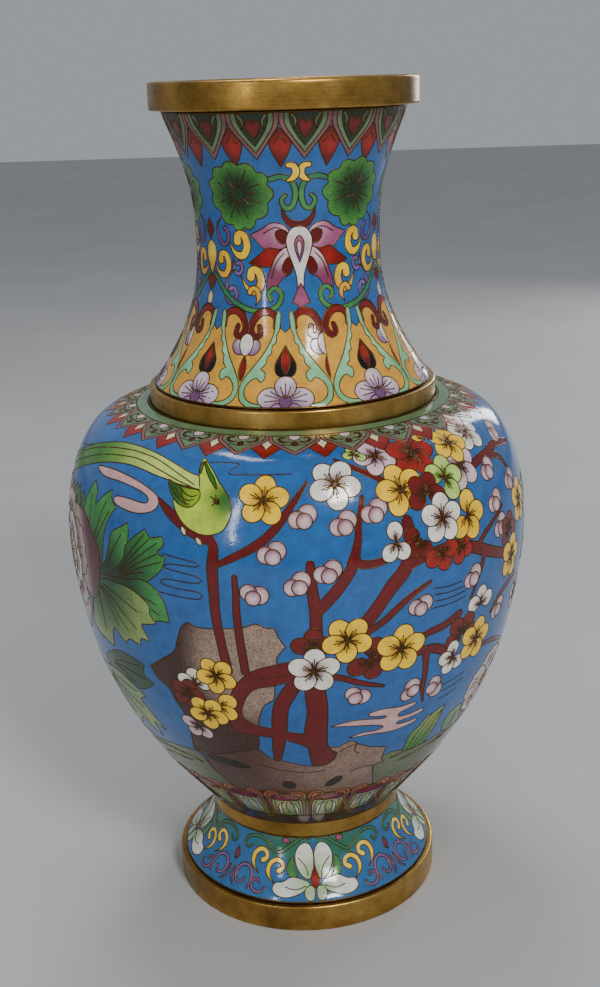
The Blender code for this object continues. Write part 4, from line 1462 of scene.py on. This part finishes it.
def blossoms(pen):
    """The plum's flowers, hindmost first: place, radius, lean, look, and petals hidden."""
    for across, down, radius, lean, look, *hidden in (
            (19.8, 21.6, 6.2, 50, BLUSH), (14.6, 20.4, 3.4, -20, LIME, 1, 3),
            (53.4, 21.4, 6.8, 5, SNOW), (43.4, 30, 7.2, 62, BLUSH),
            (30.5, 22.8, 7.6, 8, SCARLET), (37.4, 19.2, 3.6, -60, GOLD, 2, 3, 4),
            (44, 22.6, 6.6, 30, GOLD), (37, 32, 6.8, 12, LIME, 3), (24, 32.4, 7.4, -14, GOLD),
            (27, 46.8, 5.6, -60, CRIMSON, 1, 2), (20.8, 46.2, 5.8, 0, SNOW, 1, 4),
            (30.4, 34.8, 6.2, 30, CRIMSON, 2), (32.4, 51, 6.2, 165, SCARLET, 2, 3),
            (38, 51.4, 5.4, 120, SCARLET, 2, 3), (41.4, 43.8, 7.4, 14, GOLD, 4),
            (33.6, 42.4, 7.2, 4, SNOW), (8, 28.6, 7.2, -40, SNOW), (-8.8, 32.4, 7, 6, GOLD),
            (58.6, 54, 5.6, 20, CRIMSON, 2), (68, 48.4, 7, 10, GOLD), (60.4, 62.8, 7, 15, GOLD),
            (69, 78, 5.8, 0, BLUSH), (1.6, 74.4, 6.4, 0, CRIMSON, 2, 3),
            (14.4, 79.4, 7, 20, CRIMSON, 4), (9.2, 72.4, 7.3, -33, GOLD),
            (22.2, 78, 7.8, 6, GOLD), (1.6, 81.6, 7.4, 2, SNOW),
            (46.2, 72.2, 6.2, 0, SNOW, 2, 3), (40.4, 79.2, 6.8, 30, CRIMSON, 2),
            (38.4, 86.4, 5.8, -10, SNOW, 1), (46.4, 83.6, 7.2, 12, GOLD),
            (-22.4, 95, 6.6, 60, GOLD, 2, 3, 4), (-27.6, 88.6, 5.8, 0, SNOW, 2),
            (-30.4, 92.6, 5.6, 20, CRIMSON), (-21.6, 84.4, 6.2, -30, GOLD),
            (-30, 105, 5.6, 0, BLUSH, 0, 1), (-25.8, 98.8, 6.4, -36, GOLD)):
        rim, heart = look
        seen = [petal for petal in range(5) if petal not in hidden]
        blossom(pen, (across, down), radius, lean, rim, heart, seen)


def buds(pen):
    """The plum's buds: places and leans."""
    for across, down, lean in ((0, 37, 20), (9, 39.4, 15), (16.4, 37, 20), (-7, 46.4, 25),
                               (-11, 57.8, 60), (-1.6, 55, 10), (5, 52, 25), (67, 26, 10),
                               (53.4, 34, 15), (63.4, 40.4, 30), (53, 43.4, 20),
                               (54, 51, 10), (42.2, 62, 10), (26.6, 65.6, 35),
                               (55.4, 77.4, 10), (12, 91.4, 75), (26.2, 93.4, -20),
                               (34, 95, 120), (-76, 102, 40)):
        bud(pen, (across, down), 3.6, lean)


def bird(pen):
    """A small crested green bird with a long tail, perched on the left-hand branch."""
    eye = (-19.8, 33.1)
    pen.area([(-25.4, 26.5, 1), (-25.9, 24.7), (-25.9, 22), (-25.6, 20.8, 1), (-24.2, 22.4),
              (-21.9, 25), (-19.9, 27.8), (-18.3, 29.8), (-16.9, 31.9), (-16.2, 34.1),
              (-16.3, 37.2), (-17.4, 40), (-19, 41.6), (-21.7, 42.4), (-24.5, 41.9),
              (-27.2, 40.3), (-29.4, 37.7), (-30.8, 34.8), (-31, 33), (-29.7, 31.1),
              (-27, 29.7)], Paint(BIRD_DARK, BIRD_PALE, (-17.6, 32.9), 1.2, 6.6, 0.3))
    pen.band([(-25.3, 26), (-25.5, 23.8), (-25.3, 22.2)], (0.5, 1, 0.2), BIRD_DARK)
    pen.band([(-25.1, 22.2), (-23.4, 24.9), (-21.6, 27.5), (-20.2, 29.8)],
             (0.3, 1, 1.3, 0.4), BIRD_DARK)
    tail = Paint(hue("C8D870"), hue("3C7A22"), (-31, 28.5), 4, 32, 0.2)
    pen.area([(-100, 43, 1), (-93, 38.6), (-86, 34.6), (-73, 28), (-65, 24.3), (-56, 21.4),
              (-47, 21), (-39.9, 22), (-33.8, 23.8), (-28.6, 25.8), (-25.4, 26.7, 1),
              (-24.4, 30.4, 1), (-27, 30), (-30.9, 29.5), (-33.9, 28.8), (-38, 28.2),
              (-43, 27.4), (-49, 27.2), (-57, 28.6), (-66, 31.8), (-78, 37.4), (-90, 43)], tail)
    for line in ([(-92, 40.2), (-74.5, 30), (-62.5, 25.2), (-51, 22.9), (-43.2, 23),
                  (-38.1, 24), (-32.9, 26), (-28.8, 27.9), (-26.1, 29.3)],
                 [(-86, 38.4), (-69, 30.2), (-59, 26.6), (-50.2, 25), (-44.8, 24.9),
                  (-39.7, 25.9), (-35.1, 27.2), (-31, 28.6), (-27, 29.8)]):
        pen.wire(line)
    pen.area([(-33.7, 28.6, 1), (-30.9, 29.6), (-27.6, 30.3), (-24.7, 30.6), (-24.1, 32.3),
              (-24.9, 34.1), (-26.1, 35.3), (-27.7, 35.5), (-29.8, 34.7), (-31.6, 32.8),
              (-32.9, 30.7)], Paint(BIRD, hue("2A5A1E"), (-24.6, 32), 2, 5))
    for line in ([(-32.9, 29.6), (-30.9, 32.2), (-28.2, 34.3), (-26.7, 34.6)],
                 [(-31.5, 30.1), (-29.4, 32.6), (-27.3, 33.6), (-25.5, 33.2)],
                 [(-29.8, 30.4), (-28.1, 31.9), (-26.3, 32.5), (-24.9, 31.9)],
                 [(-27.4, 34.9), (-28.6, 33), (-29.4, 31.2)]):
        pen.wire(line)
    pen.disc(eye, 0.95, BLACK, 0.8, 30)
    for tip in ((-21.6, 31.9), (-20.3, 31.3), (-20.9, 34.5)):
        pen.wire([eye, tip])
    for place, lean in (((-27.4, 41.9), 60), ((-23.5, 44.2), 50)):
        pen.disc(place, 1.3, CREAM, 0.5, lean)


def build_body():
    """The body's enamel: the garden twice round, the bird once, the borders, the strips."""
    top = BODY.at_radius(COLLAR_RADIUS + GAP) + RING_WIRE + GAP
    strip_wire = top + SHOULDER_STRIP + GAP
    hem_top = BODY.length - RING_WIRE - GAP - HEM_STRIP
    hem_wire = hem_top - GAP - RING_WIRE
    field = Field("body_enamel", BODY, strip_wire + RING_WIRE, hem_wire, BLUE)
    sides = (BODY_TURN, BODY_TURN + 180)
    for turn in sides:
        pen = Pen(field, turn)
        hills(pen)
        rocks(pen)
    for turn in sides:
        pen = Pen(field, turn)
        clouds(pen)
        peony_leaves(Pen(field, turn - 140, True))
        peony_leaves(pen)
        peony(pen)
    for turn in sides:
        pen = Pen(field, turn)
        tree(pen)
        grass(pen)
        low_peony(pen)
        buds(pen)
        blossoms(pen)
    bird(Pen(field, BODY_TURN))
    shoulder_lappets(field)
    petal_border(field)
    field.build(6, "body_enamel")
    plain_strip("shoulder_strip_enamel", BODY, top, strip_wire, STRIP_GREEN)
    # The hem strip's dark brown is partly painted shade of the gap above the waist ring.
    plain_strip("hem_strip_enamel", BODY, hem_top, BODY.length - RING_WIRE, HEM_BROWN_AND_GAP_SHADE)


# ---------------------------------------------------------------- the foot

FOOT_LOTUSES = 4
FOOT_AXIS = 3.4


def foot_lotus_half(pen):
    """Half of one repeat: petals, two gold scrolls, green and mauve vines."""
    pen.area([(2, 3), (20, 3), (40, 3), (42.6, 7), (36, 9.4), (28, 8.6),
              (22, 11.4), (16.4, 10.6), (13, 14), (9.6, 17.4), (4, 12)],
             Paint(hue("2E6E58"), hue("2F6C94"), (14, 8), 3, 15), GROUND_GROUP)
    pen.area([(11.4, 10.6), (14.2, 12.6), (13.8, 15.8), (10.2, 18.2), (7.6, 18),
              (10.4, 14.8)], Paint(LEAF, GREEN, (10, 17), 1, 5))
    pen.band([(1.6, 4.8), (7, 4.6), (14, 7.4), (20, 9.6), (24.6, 8.4), (28, 6.4),
              (34, 5.6), (39.6, 6.6), (41.6, 8.6), (39.2, 10.2), (36.8, 9)],
             (0.5, 0.9, 1, 1, 0.9, 0.9, 1, 1, 0.9, 0.8, 0.6), STEM)
    pen.disc((16, 5.6), 1.3, Paint(PINK, ROSE, (16, 5.6), 0.3, 1.2), 0.7)
    pen.band([(24.6, 20.6), (26.4, 22.6), (30, 22.4), (31.6, 20.2), (29.4, 18.6),
              (27.6, 19.8)], (0.4, 0.8, 0.9, 0.9, 0.8, 0.6), LILAC)
    pen.band([(33.4, 22.6), (32.2, 19.4), (33.8, 16.4), (38, 15.4), (41.4, 17.4),
              (40.8, 20.4), (37.6, 21.4), (36, 19.6)],
             (0.4, 0.9, 1, 1, 1, 0.9, 0.8, 0.6), LILAC)
    pen.band([(41, 22.8), (43.4, 20.6), (43.6, 17.4)], (0.4, 0.9, 0.6), MAUVE)
    for across, down in ((9.6, -2.5), (0, 0)):
        curl(pen, moved([(18.8, 15.2), (16.8, 14.2), (17.4, 12.5), (20.8, 11.9), (24.2, 13.6),
                         (24, 16.8), (19.6, 19.6)], across, down), 1.55,
             Paint(PALE_YELLOW, YELLOW, (17.5 + across, 13.0 + down), 0.6, 4))
    white = Paint(FOOT_GREEN, FOOT_WHITE, (0, 18), 2.5, 7.5)
    pen.area([(0.7, 15.8, 1), (0.2, 12), (0.3, 9.2), (1.9, 6.9), (4.6, 6.1), (8, 6.9),
              (10.4, 9.4), (9.9, 12.6), (7.4, 15.6), (4.2, 17.4), (1.8, 17, 1)], white)
    pen.wire([(3.2, 17), (4.6, 13.6), (8.8, 10.8)])
    pen.area([(2.6, 18.8), (6, 17.4), (12, 16.8), (16, 18.4), (19.8, 19),
              (20.6, 21.2), (18, 22.8), (13.6, 23.2), (8.6, 22.2), (4.6, 20.6)], white)
    pen.wire([(4.4, 19.4), (9.4, 20.6), (14.6, 20)])
    pen.area([(0.5, 20.4), (2.4, 19.3), (4.8, 20.3), (5.2, 22.3), (3.5, 24), (1, 23.6)],
             white)


def build_foot():
    """The foot's enamel: four lotuses with a bud between each two."""
    top = FOOT.at_height(WAIST_BOTTOM) + GAP + RING_WIRE
    bottom = FOOT.at_height(FOOT_RING_TOP) - GAP - RING_WIRE
    field = Field("foot_enamel", FOOT, top, bottom, hue("32689C"))
    pitch = 360.0 / FOOT_LOTUSES
    for i in range(FOOT_LOTUSES):
        axis = Pen(field, FOOT_AXIS + pitch * i)
        for pen in (axis, mirrored(axis)):
            foot_lotus_half(pen)
        axis.both([(0, 13.4, 1), (1.6, 15.8), (2.1, 17.6), (1.6, 19.2), (0, 20.2)],
                  Paint(BRIGHT_RED, DARK_RED, (0, 17.6), 0.4, 2.6))
        between = Pen(field, FOOT_AXIS + pitch * (i + 0.5))
        between.both([(0, 11, 1), (1.6, 12.6), (1.4, 14.4), (0, 15.2)],
                     Paint(ROSE, MAROON, (0, 13), 0.3, 1.8))
    field.build(4, "foot_enamel")


# ---------------------------------------------------------------- rings, strips, linings


def ring_wire(name, skin, top):
    """A ring of flat wire on edge, replacing the coarse one."""
    side = skin.side(top, top + RING_WIRE, -RING_WIRE_PROUD)
    back = skin.side(top, top + RING_WIRE, ENAMEL_DEPTH)
    outline = rounded(side + back[::-1], {0: WIRE_ROUND, len(side) - 1: WIRE_ROUND}, 4)
    belongs(turned(name + "_fine", outline, WIRE), "gilt_wire", name)


def plain_strip(name, skin, top, bottom, colour):
    """A ring of enamel of one colour."""
    Field(name, skin, top, bottom, colour).build(3, name)


def lining(name, face, back, material, closed=True):
    """A turned layer between two lines of (radius, height) points."""
    belongs(turned(name + "_fine", back[::-1] + face, material, closed), name, name)


def brass_ring(name, outline, corners):
    """A turned brass ring, some corners of its outline rounded."""
    belongs(turned(name + "_fine", rounded(outline, corners), BRASS), "aged_brass", name)


def build_rings():
    """The four brass rings; those of the mouth and the foot are formed sheet."""
    throat = NECK.side(0.0, 1.0, LINING_UNDER)[0][0] - GAP
    lip = NECK.side(NECK.at_height(MOUTH_RING_BOTTOM + SHEET), NECK.length,
                    COPPER_TOP)[0][0] + GAP
    top, bottom, outer = TOTAL_HEIGHT, MOUTH_RING_BOTTOM, MOUTH_RING_RADIUS
    wall = outer - SHEET
    brass_ring("mouth_ring", [(throat, top), (outer, top), (outer, bottom), (lip, bottom),
                              (lip, bottom + SHEET), (wall, bottom + SHEET),
                              (wall, top - SHEET), (throat, top - SHEET)],
               {0: 0.7, 1: 1.1, 2: 0.7, 3: 0.3})

    bore = NECK_LINE[-1][0] - COPPER_TOP + GAP
    under = BODY.side(BODY.at_radius(bore), BODY.at_radius(COLLAR_RADIUS), COLLAR_SUNK)[0][1]
    brass_ring("collar_ring", [(bore, COLLAR_TOP), (COLLAR_RADIUS, COLLAR_TOP),
                               (COLLAR_RADIUS, under), (bore, under)],
               {0: 0.3, 1: 0.8, 2: 0.3})

    bore = FOOT_LINE[0][0] - COPPER_TOP + GAP
    brass_ring("waist_ring", [(bore, WAIST_TOP - WAIST_SLOPE_DROP), (WAIST_RADIUS, WAIST_TOP),
                              (WAIST_RADIUS, WAIST_BOTTOM), (bore, WAIST_BOTTOM)],
               {1: 0.7, 2: 0.7})

    outer = FOOT_RING_RADIUS
    wall = FOOT_LINE[-1][0] - COPPER_TOP + GAP
    brass_ring("foot_ring", [(wall, FOOT_RING_TOP), (outer, FOOT_RING_TOP), (outer, 0.0),
                             (FOOT_LEDGE_RADIUS, 0.0), (FOOT_LEDGE_RADIUS, SHEET),
                             (wall, SHEET)], {1: 0.8, 2: 0.4, 3: 0.4})


def build_wires():
    """The ring wires that edge every field and strip."""
    upper = BODY.at_radius(COLLAR_RADIUS + GAP)
    lower = BODY.length - RING_WIRE
    ring_wire("neck_upper_wire", NECK, NECK.at_height(MOUTH_RING_BOTTOM) + GAP)
    ring_wire("neck_lower_wire", NECK, NECK.at_height(COLLAR_TOP) - GAP - RING_WIRE)
    ring_wire("body_upper_wire", BODY, upper)
    ring_wire("shoulder_strip_wire", BODY, upper + RING_WIRE + GAP + SHOULDER_STRIP + GAP)
    ring_wire("hem_strip_wire", BODY, lower - GAP - HEM_STRIP - GAP - RING_WIRE)
    ring_wire("body_lower_wire", BODY, lower)
    ring_wire("foot_upper_wire", FOOT, FOOT.at_height(WAIST_BOTTOM) + GAP)
    ring_wire("foot_lower_wire", FOOT, FOOT.at_height(FOOT_RING_TOP) - GAP - RING_WIRE)


def build_linings():
    """Counter-enamel: turquoise inside the vase, dark blue inside the foot."""
    end = NECK.at_height(LIP_TOP + LINING_UNDER - GAP)
    lining("neck_lining", NECK.side(0.0, end, LINING_TOP), NECK.side(0.0, end, LINING_UNDER),
           TURQUOISE)
    brow = BODY.at_radius(LIP_RADIUS + COPPER)
    floor = BOWL_FLAT_HEIGHT + COPPER + GAP
    lining("body_lining",
           BODY.side(brow, BODY.length - COPPER - LINING, LINING_TOP)
           + [(BOWL_FLAT_RADIUS - LINING / 2, floor), (0.0, floor)],
           BODY.side(brow, BODY.length - COPPER - 2 * LINING, LINING_UNDER)
           + [(BOWL_FLAT_RADIUS - LINING, floor + LINING), (0.0, floor + LINING)],
           TURQUOISE, closed=False)
    under = FOOT.side(0.0, FOOT.length, COPPER_TOP)[0][1] - COPPER - GAP
    ledge = FOOT.at_height(FOOT_RING_TOP) - GAP
    lining("foot_lining",
           [(FOOT_FLANGE_RADIUS, under)] + FOOT.side(COPPER + GAP, ledge, LINING_TOP),
           [(FOOT_FLANGE_RADIUS, under - LINING)]
           + FOOT.side(COPPER + GAP + LINING, ledge, LINING_UNDER), NAVY)
    radius, top = FOOT_FLANGE_RADIUS - GAP, BOWL_FLAT_HEIGHT - GAP
    lining("base_enamel", [(radius, top - ENAMEL_DEPTH), (0.0, top - ENAMEL_DEPTH)],
           [(radius, top), (0.0, top)], NAVY, closed=False)
    for name in ("neck_core", "shoulder_core", "bowl_core", "foot_core"):
        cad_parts[name].material_slots[0].material = COPPER_SHEET


FLOOR_REACH = 4.0
SKY = (0.74, 0.78, 0.84, 1.0)
SKY_STRENGTH = 0.46

# Each lamp's name, place, the height on the axis that it faces, its size and its watts.
LAMPS = (("key", (0.42, -0.95, 0.92), 0.13, (0.24, 0.30), 10.0),
         ("fill", (-0.55, -0.95, 0.50), 0.12, (0.03, 0.60), 1.8),
         ("over", (-0.10, 0.30, 1.05), 0.15, (0.30, 0.30), 3.5),
         ("rim", (0.55, 1.00, 0.45), 0.13, (0.16, 0.60), 2.5))


def floor_material():
    n = Nodes("studio_floor")
    colour = n.ramp(n.noise(6.0, 3.0), (0.35, grey(0.44)), (0.65, grey(0.48)))
    return n.finish(colour, n.spread(n.noise(30.0), 0.3, 0.7, 0.6, 0.75))


def build_stage():
    """A plain pale floor, an even sky and four soft lamps."""
    corners = [(x * FLOOR_REACH, y * FLOOR_REACH, 0)
               for x, y in ((-1, -1), (1, -1), (1, 1), (-1, 1))]
    floor = new_piece("floor", corners, [(0, 1, 2, 3)], floor_material())
    world = bpy.data.worlds.new("studio")
    world.use_nodes = True
    sky = world.node_tree.nodes["Background"]
    sky.inputs["Color"].default_value = SKY
    sky.inputs["Strength"].default_value = SKY_STRENGTH
    bpy.context.scene.world = world
    for name, place, aim, size, power in LAMPS:
        data = bpy.data.lights.new(name, "AREA")
        data.shape = "RECTANGLE"
        data.size, data.size_y = size
        data.energy = power
        lamp = bpy.data.objects.new(name, data)
        bpy.context.collection.objects.link(lamp)
        lamp.location = place
        ahead = Vector((0.0, 0.0, aim)) - Vector(place)
        lamp.rotation_euler = ahead.to_track_quat("-Z", "Y").to_euler()


build_neck()
build_body()
build_foot()
build_rings()
build_wires()
build_linings()
build_stage()
